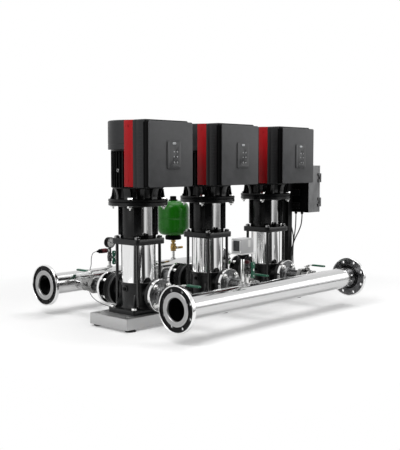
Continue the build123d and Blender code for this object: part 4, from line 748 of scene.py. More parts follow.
# Motor stools: floor, four columns, cast walls over the side windows, and flange
work = bmesh.new()
floor_ring = ring(0.03, 0.082, HEAD_TOP, HEAD_TOP + 0.016, 0.0015)
turned(work, floor_ring, UPRIGHT, 60)
open_half = 32.3
for quarter in range(4):
    start, end = quarter * 90 + open_half, (quarter + 1) * 90 - open_half
    extruded(work, sector(0.08, 0.101, start, end, 8), HEAD_TOP + 0.0165,
             STOOL_TOP - 0.01, UPRIGHT, 0.0025)
    extruded(work, sector(0.08, 0.091, start, end, 8), HEAD_TOP, HEAD_TOP + 0.02, UPRIGHT)
for start in (-33.0, 147.0):
    extruded(work, sector(0.0802, 0.085, start, start + 66.0, 24), HEAD_TOP + 0.014,
             STOOL_TOP - 0.012, UPRIGHT, 0.0006)
stool_flange = profile(STOOL_TOP, (80, 0), (147, 0), (150, -2.8), (150, -16.8), (148.8, -18),
                       (108, -18), (103, -20), (101, -24), (80.5, -24), (80, -22), (80, 0))
turned(work, stool_flange, UPRIGHT, 84)
piece("motor_stools", at_pumps(work), [stool_black])

# Coupling guards: two half shells of sheet with rivets
work = bmesh.new()
low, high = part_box("coupling_guards")
for start in (45.7, 225.7):
    extruded(work, sector(0.0783, 0.0798, start, start + 178.6, 60), low.z, high.z, UPRIGHT)
for side in (90, 270):
    for z in (low.z + 0.012, high.z - 0.012):
        for lean in (-26, 26):
            rivet = around(side + lean) @ facing("+X", 0.0788, 0, z)
            turned(work, disc(0.0028, 0, 0.0018, 0.0008), rivet, 16)
piece("coupling_guards", at_pumps(work), [guard_steel])

# Motors: flange, gusseted bell, finned body and the pad behind the converter
work = bmesh.new()
Z0 = STOOL_TOP
Z1 = MOTOR_BODY_Z
Z2 = MOTOR_BODY_Z + 0.06
Z3 = COVER_Z
motor = profile(Z0, (31, 0), (147, 0), (150, 2.6))
motor += profile(Z1, (150, -2), (148, 0), (120, 0), (113, 2), (108.5, 6), (107, 12))
motor += profile(Z2, (107, -16), (109, -11), (128, -7), (130.5, -4), (131, -1), (130, 0),
                 (124, 1.5))
motor += profile(Z3, (124, -10), (133.5, -8), (134.5, -6), (134.5, 0), (146, 0), (146, 8), (31, 8),
                 (31, -14), (101, -14))
motor += profile(Z1, (101, 0), (31, 0))
motor += profile(Z0, (31, 0))
turned(work, motor, UPRIGHT, 96)
FIN_COUNT = 40
for i in range(FIN_COUNT):
    spin_place = around(360 * (i + 0.5) / FIN_COUNT)
    block(work, (0.12, -0.0016, Z2 - 0.002), (0.135, 0.0016, Z3 - 0.007), spin_place, 0.0012)
for turn in (45, 135, 225, 315):
    web = web_place(turn, Z1)
    corners = profile(0, (100, 0), (140, 0), (140, 4), (133.5, 16), (129, 50), (100, 50))
    extruded(work, corners, -0.005, 0.005, web, 0.0015)
leg_side = profile(0, (100, -1), (119, -1), (116.5, 4), (116.2, 16), (119, 30), (124, 44),
                   (128.5, 54), (100, 54))
for k in range(10):
    web = web_place(201 + 36 * k, Z1)
    wide = 0.019 if k % 2 == 0 else 0.012
    extruded(work, leg_side, -wide, wide, web, 0.0025, 3)
pad = arc(0.15, 246.5, 293.5, 12)
pad += [(0.0598, -0.11), (-0.0598, -0.11)]
extruded(work, pad, Z3 - 0.166, Z3 - 0.006, UPRIGHT, 0.001)
for turn in (180, 0, 90):
    boss = around(turn) @ facing("+X", 0, 0, Z2 + 0.083)
    turned(work, ring(0.0074, 0.01, 0.118, 0.1345, 0.0005), boss, 32)
    turned(work, ring(0.006, 0.0076, 0.118, 0.1352, 0.0004), boss, 32, 2)
    turned(work, disc(0.006, 0.118, 0.133, 0.001), boss, 32)
    band = around(turn)
    block(work, (0.121, -0.012, Z2 + 0.071), (0.1285, 0.012, Z2 + 0.095), band, 0.003)
# Lifting lugs and a blank rating plate on the back
for turn in (45, 225):
    lug = around(turn)
    block(work, (0.118, -0.011, Z3 - 0.045), (0.1345, 0.011, Z3 - 0.006), lug, 0.003)
back = around(60)
block(work, (0.12, -0.03, Z2 + 0.055), (0.1346, 0.03, Z2 + 0.105), back, 0.002)
block(work, (0.134, -0.026, Z2 + 0.06), (0.1352, 0.026, Z2 + 0.1), back, 0.0004, 2, 2)
piece("motor_housings", at_pumps(work), [motor_black, bolt_steel, inner_steel, casting_black])

# Fan covers: hood, skirt and a grille of rings on spokes
work = bmesh.new()
LOW, TOP = FAN_LOW.z, FAN_HIGH.z
hood = profile(LOW, (146, 0.5), (147.5, 0), (149, 0.8), (149, 22.5), (147.8, 24), (147.8, 26),
               (149, 27.5))
hood += profile(TOP, (149, -7), (148.4, -4.5), (146.5, -1.8), (144, -0.4), (142, 0), (118, 0),
                (117, -1), (117, -3), (118, -3.5), (136, -3.5), (142, -4.5), (145.5, -8),
                (146, -15))
hood += profile(LOW, (146, 0.5))
turned(work, hood, UPRIGHT, 112)
for radius in (0.108, 0.0965, 0.085, 0.0735, 0.062, 0.0505, 0.039):
    turned(work, ring(radius - 0.0022, radius + 0.0022, TOP - 0.0045, TOP - 0.0005, 0.0012),
           UPRIGHT, 72)
for k in range(8):
    spoke = around(360 * (k + 0.5) / 8)
    block(work, (0.03, -0.0035, TOP - 0.005), (0.119, 0.0035, TOP - 0.001), spoke, 0.001)
turned(work, disc(0.033, TOP - 0.005, TOP - 0.0005, 0.002), UPRIGHT, 48)
for k in range(4):
    screw = around(degrees(0.12) + 45 + 90 * k) @ facing("+X", 0.1455, 0, LOW + 0.012)
    turned(work, disc(0.0045, 0, 0.0034, 0.0012), screw, 20, 1)
piece("fan_covers", at_pumps(work), [hood_grey, bolt_steel])

# Side bands of the converters
work = bmesh.new()
BAND_BACK, BAND_FRONT, HOUSING_FRONT, COVER_FRONT = -0.063, -0.127, -0.209, -0.239
HALF = 0.1495
low_z, high_z = BAND_LOW.z, HOUSING_HIGH.z - 0.0006
NOTCH_FRONT, NOTCH_BACK = 180 + 57.8, 180 + 24.9
side_shape = [(-HALF, BAND_BACK), (-HALF, BAND_FRONT)]
side_shape += arc(FAN_NOTCH_R, NOTCH_FRONT, NOTCH_BACK, 10)
for sign in (-1, 1):
    shape = [(-sign * x, y) for x, y in side_shape]
    extruded(work, shape, low_z, high_z, UPRIGHT, 0.0022)
    outer = (HALF - 0.0006) * sign
    for y in (-0.0715, -0.1185):
        rod(work, (outer, y, low_z + 0.014), (outer, y, high_z - 0.014), 0.0009)
    for z in (low_z + 0.03, high_z - 0.03):
        screw = facing("+X" if sign > 0 else "-X", sign * (HALF - 0.004), -0.095, z)
        turned(work, disc(0.0042, 0, 0.004, 0.001), screw, 20)
piece("side_bands", at_pumps(work), [band_red])

# Converter housings: round-edged box behind a shadow gap, notched for the fan cover
work = bmesh.new()
low_z, high_z = HOUSING_LOW.z, HOUSING_HIGH.z
corner = 0.009
front_view = [(-HALF, low_z), (HALF, low_z)]
front_view += arc(corner, 0, 90, 8, HALF - corner, high_z - corner)
front_view += arc(corner, 90, 180, 8, corner - HALF, high_z - corner)
wall = facing("-Y")
extruded(work, front_view, 0.1503, 0.206, wall, 0.0018)
inner_view = [(x * 0.975, low_z + 0.004 + (z - low_z) * 0.975) for x, z in front_view]
extruded(work, inner_view, 0.2055, 0.209, wall, 0, 1)
for low_x, high_x in ((-HALF - 0.0004, -HALF + 0.004), (HALF - 0.004, HALF + 0.0004)):
    block(work, (low_x, -0.2088, low_z + 0.001), (high_x, -0.1995, high_z - 0.013), UPRIGHT,
          0.001, 2, 1)
notch = arc(FAN_NOTCH_R, 270, NOTCH_FRONT, 8)
for sign in (-1, 1):
    shape = [(sign * 0.001, -0.1505)] + [(-sign * x, y) for x, y in notch]
    shape += [(sign * (HALF - corner), BAND_FRONT), (sign * (HALF - corner), -0.1505)]
    extruded(work, shape, low_z, high_z, UPRIGHT, 0)
    half_view = [(sign * (HALF - corner), low_z), (sign * HALF, low_z)]
    edge = arc(corner, 0, 90, 8, HALF - corner, high_z - corner)
    half_view += [(sign * x, z) for x, z in edge]
    extruded(work, half_view, 0.127, 0.1505, wall, 0.0008)
for i in range(13):
    z = low_z + 0.05 + i * 0.018
    for sign in (-1, 1):
        x = sign * (HALF - 0.0005)
        rod(work, (x, -0.15, z), (x, -0.19, z), 0.0012)
for i in range(9):
    x = -0.104 + i * 0.026
    block(work, (x - 0.008, -0.198, high_z - 0.0004), (x + 0.008, -0.16, high_z + 0.0006),
          UPRIGHT, 0.0004)
piece("converter_housings", at_pumps(work), [shell_grey, trim_black])

# Front covers: grey face in a black rim
work = bmesh.new()
low_z, high_z = COVER_LOW.z, COVER_HIGH.z
mid_z = (low_z + high_z) / 2
base = facing("-Y", 0, HOUSING_FRONT, mid_z)
plate(work, 0.299, high_z - low_z, 0.0255, 0.01, base, 0.001, 1, 8)
face_place = raised(base, 0.025)
plate(work, 0.2985, high_z - low_z - 0.0005, 0.005, 0.01, face_place, 0.002, 0, 8)
for x in (-0.136, 0.136):
    for z in (low_z + 0.014, high_z - 0.014):
        screw = facing("-Y", x, COVER_FRONT + 0.0032, z)
        turned(work, disc(0.0042, 0, 0.003, 0.0008), screw, 20, 1)
piece("front_covers", at_pumps(work), [face_grey, trim_black])

# Details that stand on the control panels: status lens, dots, rules and a pale strip
work = bmesh.new()
FACE = -0.245
oval = facing("-Y", 0.013, FACE - 0.0006, 0.9115)
plate(work, 0.024, 0.0115, 0.0012, 0.0056, oval, 0.0005, 1)
for x, z in ((0.013, 0.872), (0.013, 0.848)):
    turned(work, disc(0.0032, 0, 0.0008, 0.0003), facing("-Y", x, FACE, z), 20, 1)
for z in (0.79, 0.9225):
    block(work, (-0.028, FACE - 0.0004, z), (0.058, FACE + 0.0005, z + 0.0008), UPRIGHT, 0, 1, 2)
strip = facing("-Y", -0.0245, FACE, 0.8565)
plate(work, 0.011, 0.128, 0.0006, 0.004, strip, 0.0002, 2)
piece("panel_details", at_pumps(work), [trim_black, lens_grey, face_grey])

# Push keys, each with a pale ring
for n in PUMPS:
    for k in (1, 2, 3, 4):
        work = bmesh.new()
        node = f"button_{n}_{k}"
        low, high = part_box(node)
        centre = (low + high) / 2
        place = facing("-Y", centre.x, high.y, centre.z)
        plate(work, 0.01, 0.01, high.y - low.y - 0.0004, 0.0018, place, 0.0008)
        ring_place = raised(place, high.y - low.y - 0.0006)
        turned(work, ring(0.0018, 0.0042, 0, 0.0006, 0.0002), ring_place, 24, 1)
        piece(node, work, [key_grey, mark_grey], node)

# Headers: pipe, end collars, branches, sockets and their weld beads
HEADERS = (
    ("suction_header", SUCTION_Y, SUCTION_LOW.x, SUCTION_HIGH.x, 1, (-0.283, -0.249)),
    ("discharge_header", DISCHARGE_Y, DISCHARGE_LOW.x, DISCHARGE_HIGH.x, -1, (-0.254, 0.268)),
)
for label, y, low_x, high_x, toward, sockets in HEADERS:
    work = bmesh.new()
    length = high_x - low_x
    pipe = facing("+X", low_x, y, PORT_Z)
    far = facing("-X", high_x, y, PORT_Z)
    collar = [(HEADER_BORE, 0.004), (0.056, 0.0008), (0.0572, 0), (0.0775, 0), (0.079, 0.0012),
              (0.079, 0.0048), (0.0778, 0.006), (HEADER_R + 0.004, 0.0062),
              (HEADER_R + 0.0012, 0.0085), (HEADER_R, 0.0105), (HEADER_BORE, 0.0105),
              (HEADER_BORE, 0.004)]
    turned(work, ring(HEADER_BORE, HEADER_R, 0.0104, length - 0.0104, 0.0002), pipe, 128)
    for end in (pipe, far):
        turned(work, collar, end, 128, 2)
        for groove in (0.0615, 0.0675, 0.0725):
            rise = ring(groove - 0.0008, groove + 0.0008, 0, 0.0006, 0.0002)
            turned(work, rise, end, 96, 2)
    valve = DISCHARGE_VALVE if toward < 0 else SUCTION_VALVE
    start = valve + 0.046
    for x in PUMP_XS:
        branch = facing("+Y" if toward > 0 else "-Y", x, y, PORT_Z)
        reach = abs(y - ROW_Y) - start
        tube = ring(BRANCH_BORE, BRANCH_R, 0.045, reach, 0.0005)
        turned(work, tube, branch, 72, 1)
        path = saddle(HEADER_R + 0.0004, 0.0305, toward)
        bead(work, path, 0.0022, facing("+Z", x, y, PORT_Z))
        collar = ring(0.03, 0.0335, reach - 0.006, reach - 0.001, 0.0015)
        turned(work, collar, branch, 60, 2)
    for shift in sockets:
        socket = facing("+Z", MIDDLE_X + shift, y, PORT_Z)
        boss = profile(HEADER_R, (9.5, 6), (14, 6), (15, 5), (15, -4), (9.5, -4), (9.5, 6))
        turned(work, boss, socket, 40, 2)
        path = [(x, y, sqrt(HEADER_R**2 - y**2)) for x, y in arc(0.0155, 0, 360, 32)[:-1]]
        bead(work, path, 0.0016, socket)
    piece(label, work, [pipe_steel, branch_steel, collar_steel])

# Loose flanges with a rolled rim and eight holes, and the pumps' counter flanges
work = bmesh.new()
for y, low_x, high_x in [header[1:4] for header in HEADERS]:
    for side, x in (("+X", low_x), ("-X", high_x)):
        place = facing(side, x, y, PORT_Z)
        # The slope inside the rolled rim, the holed web in front and the lip are coloured black as
        # painted shade of the recess
        slope = profile(0, (99, 6.4), (99.4, 4.8), (101, 3.4), (103.4, 2.6), (103.4, 6.4),
                        (99, 6.4))
        turned(work, slope, place, 96, 1)
        rim = profile(0, (103, 6.2), (103.4, 2.4), (104.6, 0.8), (106.4, 0), (108.4, 0.6),
                      (109.8, 2.2), (110, 4.5), (110, 16.5), (109.4, 18.6), (108, 20), (104, 20),
                      (103, 19.2), (103, 6.2))
        turned(work, rim, place, 128)
        holed_ring(work, 0.0576, 0.1034, 0.0062, 0.013, 0.009, 0.09, 8, place, 1)
        holed_ring(work, 0.0576, 0.1034, 0.0129, 0.0185, 0.009, 0.09, 8, place, 3)
        lip = ring(0.0576, 0.068, 0.015, 0.02, 0.0018)
        turned(work, lip, place, 96, 1)
        for k in range(8):
            rib = place @ around(360 * k / 8)
            block(work, (0.066, -0.003, 0.015), (0.1, 0.003, 0.02), rib, 0.001, 2, 3)
row = bmesh.new()
CHECK_FACE = PORT_FACE + 0.066
for side, face, valve in (("-Y", PORT_FACE, SUCTION_VALVE), ("+Y", CHECK_FACE, DISCHARGE_VALVE)):
    place = facing(side, 0, 0, PORT_Z)
    end = valve - 0.048
    flange = profile(face, (27.15, 0.5), (50, 0), (50.5, 1.2), (79, 1.2), (79, 17.6), (70, 17.6),
                     (69, 16.2), (50, 16.2), (49, 18), (39, 18), (34.5, 20), (31.5, 24),
                     (30.15, 29))
    flange += profile(end, (30.15, -0.5), (29.5, 0), (27.15, 0))
    flange += profile(face, (27.15, 0.5))
    turned(row, flange, place, 84, 2)
    turned(row, ring(0.0785, 0.0825, face + 0.0012, face + 0.018, 0.0014), place, 84)
    path = [(x, y, face + 0.0285) for x, y in arc(0.0308, 0, 360, 40)[:-1]]
    bead(row, path, 0.0012, place)
add_mesh(work, at_pumps(row))
piece("pipe_flanges", work, [rim_steel, flange_shade_black, zinc_steel, back_steel])

# Check valves: rim, ribbed barrel and the guide bar inside
work = bmesh.new()
place = facing("+Y", 0, 0, PORT_Z)
check = profile(PORT_FACE, (22, 0), (50, 0), (50.5, 1), (79, 1), (80.5, 2.5), (80.5, 15.5),
                (79, 17), (79, 19), (80.5, 20.5), (80.5, 34.5), (79, 36), (56, 36.5), (52.5, 38.5),
                (51.2, 42), (51.2, 58), (52, 60), (52, 65.5), (51.5, 66), (38, 66), (38, 8),
                (22, 8), (22, 0))
turned(work, check, place, 84)
for sign in (-1, 1):
    block(work, (sign * 0.0045, PORT_FACE + 0.058, PORT_Z - 0.007),
          (sign * 0.039, PORT_FACE + 0.066, PORT_Z + 0.007), UPRIGHT, 0.001)
piece("check_valve_bodies", at_pumps(work), [valve_black])

# Ball valve bodies: union nut, round middle with bonnet, hexagon end
row = bmesh.new()
for side, reach in (("-Y", SUCTION_VALVE), ("+Y", DISCHARGE_VALVE)):
    place = facing(side, 0, 0, PORT_Z)
    hex_ring(row, 0.084, 0.0302, reach - 0.048, reach - 0.024, place)
    middle = profile(reach, (34.5, -24), (37, -23.5), (39.2, -20), (40, -12), (40, 12), (39.2, 20),
                     (37, 23.8), (34.5, 24), (34.5, 23.5), (38.6, 19.5), (38.6, -19.5), (34.5, -24))
    turned(row, middle, place, 72)
    hex_ring(row, 0.07, 0.0272, reach + 0.024, reach + 0.046, place)
    turned(row, ring(0.0272, 0.0345, reach + 0.0225, reach + 0.0245, 0.0005), place, 48)
    sign = 1 if side == "+Y" else -1
    bonnet = facing("+Z", 0, sign * reach, PORT_Z)
    neck = profile(0, (7.1, 38.5), (17, 38.5), (17, 43), (15.8, 44.5), (13.5, 45), (13.5, 50.5),
                   (12, 52), (7.1, 52), (7.1, 38.5))
    turned(row, neck, bonnet, 48)
    hex_ring(row, 0.025, 0.013, 0.0452, 0.0492, bonnet)
work = at_pumps(row)


# Small valves below the gauge, at the vent and under the tank
def service_valve(x, y, wing_z, bottom, radius, finish):
    spot = facing("+Z", x, y)
    turned(work, disc(0.009, bottom, wing_z, 0.0005), spot, 32, 2)
    barrel = [(0.8, -0.023), (0.86, -0.0218), (0.86, -0.0125), (0.92, -0.011), (1, -0.008),
              (1, 0.008), (0.92, 0.011), (0.86, 0.0125), (0.86, 0.0218), (0.8, 0.023)]
    barrel = [(radius * r, wing_z + h) for r, h in [(0, -0.023), *barrel, (0, 0.023)]]
    turned(work, barrel, spot, 48, finish)
    for low, high in ((-0.023, -0.0135), (0.0135, 0.023)):
        hex_ring(work, radius * 1.7, 0.0085, wing_z + low, wing_z + high, spot, finish)
    neck = facing("-Y", x, y, wing_z)
    turned(work, ring(0.0046, 0.008, 0.008, 0.0318, 0.0008), neck, 36, finish)
    hex_ring(work, 0.015, 0.0046, 0.018, 0.0255, neck, finish)


SOCKET_TOP = HEADER_TOP + 0.006
GAUGE_X, VENT_X, SWITCH_X, TANK_X = (MIDDLE_X + s for s in (-0.254, -0.249, -0.283, 0.268))
GAUGE_WING, VENT_WING, TANK_WING = HEADER_TOP + 0.056, HEADER_TOP + 0.077, HEADER_TOP + 0.072
GAUGE_Z = HEADER_TOP + 0.14
SENSOR_Z = HEADER_TOP + 0.095
service_valve(GAUGE_X, DISCHARGE_Y, GAUGE_WING, SOCKET_TOP, 0.014, 4)
spot = facing("+Z", GAUGE_X, DISCHARGE_Y)
turned(work, disc(0.009, GAUGE_WING, GAUGE_Z - 0.031, 0.0006), spot, 32, 4)
hex_ring(work, 0.018, 0.00882, SENSOR_Z - 0.012, SENSOR_Z + 0.012, spot, 4)
service_valve(VENT_X, SUCTION_Y, VENT_WING, SOCKET_TOP, 0.014, 4)
cap = facing("+Z", VENT_X, SUCTION_Y, VENT_WING + 0.023)
turned(work, disc(0.0118, 0, 0.006, 0.0008), cap, 40, 4)
turned(work, disc(0.013, 0.006, 0.0185, 0.0016), cap, 40, 3)
turned(work, disc(0.0085, 0.0185, 0.022, 0.0014), cap, 40, 3)
for k in range(16):
    grip = cap @ around(360 * k / 16)
    block(work, (0.0118, -0.0007, 0.0075), (0.01298, 0.0007, 0.0172), grip, 0.0003, 2, 3)
service_valve(TANK_X, DISCHARGE_Y, TANK_WING, SOCKET_TOP, 0.018, 1)
spot = facing("+Z", TANK_X, DISCHARGE_Y)
TANK_FOOT_Z = HEADER_TOP + 0.1195
turned(work, disc(0.009, TANK_WING, TANK_FOOT_Z, 0.0005), spot, 32, 1)
hex_ring(work, 0.026, 0.0088, HEADER_TOP + 0.104, TANK_FOOT_Z, spot, 1)
piece("valve_bodies", work, [valve_nickel, valve_brass, bolt_steel, cap_red, valve_dark])

# Levers: cranked strip, moulded grip and nut, on the plug inside the valve
LEVER_Z = PORT_Z + 0.056
for n, x in zip(PUMPS, PUMP_XS):
    for label, reach, side in (("suction", SUCTION_VALVE, -1), ("discharge", DISCHARGE_VALVE, 1)):
        node = f"{label}_lever_{n}"
        pivot = ROW_Y + side * reach
        thick = 0.009
        work = bmesh.new()
        place = cranked(side, x, pivot, LEVER_Z)
        strip = profile(0, (-16, 0.2), (11.5, 0.2), (12.5, 1.2), (12.5, 9.5), (14, 11), (118, 11),
                        (118, 14), (11, 14), (9, 12), (9, 3.8), (-16, 3.8))
        extruded(work, strip, -0.0095, 0.0095, place, 0.0006, 1)
        grip = place @ facing("+Y", 0.078, 0.0085)
        plate(work, 0.088, 0.022, thick, 0.0105, grip, 0.0022, 0, 8)
        for k in range(5):
            rib = grip @ facing("+Z", 0.01 + k * 0.006, 0, thick - 0.0004)
            block(work, (-0.001, -0.0075, 0), (0.001, 0.0075, 0.0004), rib, 0, 1)
        stem = facing("+Z", x, pivot, PORT_Z)
        turned(work, disc(0.0068, 0.022, 0.0598, 0.0005), stem, 28, 1)
        hexagon(work, 0.013, 0.005, raised(stem, 0.06), 1)
        turned(work, disc(0.0286, -0.0235, 0.0235, 0.001), stem, 40, 1)
        piece(node, work, [lever_green, bolt_steel], node)

# Bolt heads on washers, studs beside the check valves, foot bolts and motor bolts
row = bmesh.new()
spread = PORT_BOLT_CIRCLE / 2 * sin(pi / 4)
for side, face in (("-Y", PORT_FACE + 0.018), ("+Y", PORT_FACE + 0.084)):
    for x in (-spread, spread):
        for z in (-spread, spread):
            sign = 1 if side == "+Y" else -1
            place = facing(side, x, sign * face, PORT_Z + z)
            bolt(row, 0.024, 0.01, place, 0, 0.3)
for x in (-spread, spread):
    for z in (-spread, spread):
        place = facing("+Y", x, PORT_FACE + 0.036, PORT_Z + z)
        turned(row, threaded(0.008, 0, 0.03, 0.002, 0.0005), place, 20)
for x in (-0.102, 0.102):
    for y in (-0.078, 0.078):
        bolt(row, 0.024, 0.01, facing("+Z", x, y, FRAME_TOP + 0.024), 0, 0.2)
for k in range(4):
    turn = radians(30 + 90 * k)
    x, y = MOTOR_BOLT_R * cos(turn), MOTOR_BOLT_R * sin(turn)
    bolt(row, 0.024, 0.01, facing("-Z", x, y, STOOL_TOP - 0.018), 0, 0.1)
    turned(row, threaded(0.0055, 0.0095, 0.0195, 0.002, 0.0005),
           facing("-Z", x, y, STOOL_TOP - 0.018), 20)
    bolt(row, 0.024, 0.01, facing("+Z", x, y, MOTOR_BODY_Z), 0, 0.4)
piece("fasteners", at_pumps(row), [bolt_steel])

# Diaphragm tank: drawn shells with a seam, black flange and cap with its valve
work = bmesh.new()
low, high = TANK_LOW.z + 0.031, TANK_HIGH.z - 0.028
spot = facing("+Z", TANK_X, DISCHARGE_Y)
DOME = 0.062
outline = [(0, low)]
for i in range(17):
    t = i / 16 * pi / 2
    outline.append((0.05 + 0.049 * sin(t) ** 0.75, low + DOME * (1 - cos(t) ** 0.75)))
middle = (low + high) / 2
outline += profile(middle, (98.8, -6.5), (97.4, -4.5), (97.4, -3.5), (99, -1.8), (99, 1.8),
                   (97.4, 3.5), (97.4, 4.5), (98.8, 6.5))
for i in range(17):
    t = i / 16 * pi / 2
    outline.append((0.028 + 0.071 * cos(t) ** 0.75, high - DOME * (1 - sin(t) ** 0.75)))
outline.append((0, high))
turned(work, outline, spot, 112)
base = profile(low, (0, -31), (36, -31), (47.5, -29), (49.5, -26), (50, -22), (50, -10), (48.5, -7),
               (46, -3), (45.5, 1), (0, 1))
turned(work, base, spot, 72, 1)
for k in range(6):
    screw = spot @ around(360 * (k + 0.5) / 6) @ facing("+Z", 0.0415, 0, low - 0.0308)
    turned(work, disc(0.004, 0, 0.004, 0.0006), screw, 20, 2)
cap = profile(high, (0, -1), (28, -1), (28, 4), (26.5, 6), (20.5, 8), (19.5, 10), (19.5, 24),
              (18, 27), (16, 28), (0, 28))
turned(work, cap, spot, 60, 1)
for k in range(20):
    grip = spot @ around(360 * k / 20)
    block(work, (0.0188, -0.0008, high + 0.011), (0.02, 0.0008, high + 0.024), grip, 0.0003, 2, 1)
piece("diaphragm_tank", work, [tank_green, trim_black, bolt_steel])

# Pressure gauge: case, bezel, dial with plain marks, needle
work = bmesh.new()
front = facing("-Y", GAUGE_X, DISCHARGE_Y, GAUGE_Z)
case = profile(0, (0, -15), (27.5, -15), (30, -13.5), (30.2, -11), (30.2, 7), (31, 8.5), (31, 13.8),
               (30, 15), (28.6, 15), (28, 14.2), (28, 10), (0, 10))
turned(work, case, front, 84)
turned(work, disc(0.0278, 0.01, 0.0112, 0.0003), front, 72, 1)
for k in range(31):
    turn = front @ around(225 - k * 9)
    inner = 0.0215 if k % 5 == 0 else 0.0235
    block(work, (inner, -0.0003, 0.0112), (0.0255, 0.0003, 0.0114), turn, 0, 1, 2)
needle = front @ around(150)
hand = [(-0.0075, -0.0011), (0.0225, -0.0003), (0.0225, 0.0003), (-0.0075, 0.0011)]
extruded(work, hand, 0.012, 0.0125, needle, 0, 2)
turned(work, disc(0.0027, 0.0112, 0.0132, 0.0006), front, 24, 2)
piece("pressure_gauge", work, [trim_black, dial_white, rubber_black])

# Pressure transmitter: hexagon, barrel with rings, plug and cable nut
work = bmesh.new()
level = facing("-X", GAUGE_X - 0.009, DISCHARGE_Y, SENSOR_Z)
hexagon(work, 0.022, 0.018, level, 1)
barrel = profile(0, (0, 17), (12.5, 17), (13.5, 18), (13.5, 30), (12.8, 30.8), (12.8, 32.2),
                 (13.5, 33), (13.5, 52), (12.5, 53.2), (0, 53.2))
turned(work, barrel, level, 48, 0)
tail = profile(0, (0, 53), (11.8, 53), (12.2, 54), (12.2, 68), (10.5, 70), (7.8, 70.5), (7, 76),
               (5, 85), (0, 85))
turned(work, tail, level, 48, 2)
piece("pressure_transmitter", work, [cap_red, bolt_steel, trim_black])

# Pressure switch: standpipe, cone, base, case with window and screws
work = bmesh.new()
low, high = SWITCH_LOW, SWITCH_HIGH
case_z = HEADER_TOP + 0.156
spot = facing("+Z", SWITCH_X, SUCTION_Y)
turned(work, disc(0.009, SOCKET_TOP, case_z - 0.024, 0.0005), spot, 40, 2)
hex_ring(work, 0.018, 0.0088, SOCKET_TOP + 0.002, SOCKET_TOP + 0.014, spot, 2)
cone = profile(case_z, (0, -26), (10.5, -26), (12.5, -22.5), (22.5, -8.5), (25, -6), (25.5, -4),
               (25.5, 0), (0, 0))
turned(work, cone, spot, 60, 1)
block(work, (low.x, low.y, case_z), (high.x, high.y, case_z + 0.006), UPRIGHT, 0.0015, 2, 3)
centre_x, centre_y = (low.x + high.x) / 2, (low.y + high.y) / 2
body = facing("+Z", centre_x, centre_y, case_z + 0.005)
plate(work, high.x - low.x - 0.006, high.y - low.y - 0.006, high.z - case_z - 0.005, 0.006, body,
      0.003, 0, 6)
window = facing("-X", low.x + 0.0032, centre_y, case_z + 0.042)
plate(work, 0.05, 0.038, 0.0008, 0.004, window, 0.0003, 1, 5)
plate(work, 0.046, 0.034, 0.0014, 0.003, window, 0.0004, 4, 5)
for sign in (-1, 1):
    for z in (case_z + 0.014, high.z - 0.01):
        screw = facing("-X", low.x + 0.004, centre_y + sign * 0.026, z)
        turned(work, disc(0.0034, 0, 0.0018, 0.0006), screw, 20, 2)
gland = facing("+X", high.x - 0.003, centre_y, case_z + 0.018)
hexagon(work, 0.017, 0.0028, gland, 1)
label = facing("-Y", centre_x + 0.01, low.y + 0.0032, case_z + 0.052)
plate(work, 0.018, 0.034, 0.0008, 0.002, label, 0.0003, 3, 5)
piece("pressure_switch", work, [switch_grey, trim_black, bolt_steel, dial_white, window_grey])


# Wing handles on their stems, and the tank valve's flat arm
def wing(node, x, y, z):
    work = bmesh.new()
    neck = y - WING_REACH
    face = facing("-Y", x, neck - 0.0015, z)
    shape = profile(0, (6, -40), (11.5, -36.5), (13, -30), (12.5, -22), (8.5, -10))
    shape += [(x0, -y0) for x0, y0 in reversed(shape)]
    shape += [(-x0, -y0) for x0, y0 in shape]
    extruded(work, shape, 0.0002, 0.0088, face, 0.0018, 0, 3)
    for sign in (-1, 1):
        turned(work, disc(0.003, 0.008, 0.009, 0.0004),
               face @ facing("+Z", 0, sign * 0.029), 20, 2)
    turned(work, disc(0.0055, 0.003, 0.009, 0.001), face, 28, 1)
    turned(work, disc(0.0044, 0, 0.019, 0.0004), facing("+Y", x, neck - 0.0015, z), 24, 1)
    piece(node, work, [lever_green, bolt_steel, dial_white], node)


wing("gauge_valve_handle", GAUGE_X, DISCHARGE_Y, GAUGE_WING)
wing("vent_valve_handle", VENT_X, SUCTION_Y, VENT_WING)
work = bmesh.new()
neck = DISCHARGE_Y - WING_REACH
face = facing("-Y", TANK_X, neck - 0.0015, TANK_WING)
arm = face @ facing("+Z", 0.021, 0, 0.0002)
plate(work, 0.056, 0.014, 0.0036, 0.0065, arm, 0.001, 0, 8)
turned(work, disc(0.0045, 0.003, 0.004, 0.0004), face, 24, 1)
stem = facing("+Y", TANK_X, neck - 0.0015, TANK_WING)
turned(work, disc(0.0044, 0, 0.019, 0.0004), stem, 24, 1)
piece("tank_valve_handle", work, [valve_brass, bolt_steel], "tank_valve_handle")

# Cabinet post, cabinet and door from their CAD shapes with rounded edges
softened("cabinet_post", 0.0016, [post_grey])
cabinet = softened("cabinet_body", 0.001, [cabinet_grey, cabinet_shade_black])
# Painted shade: the faces toward the pumps take the black finish for the shade they lie in, on the
# same grey sheet
for face in cabinet.data.polygons:
    if face.normal.x < -0.9:
        face.material_index = 1
softened("cabinet_door", 0.0014, [cabinet_grey], "cabinet_door")

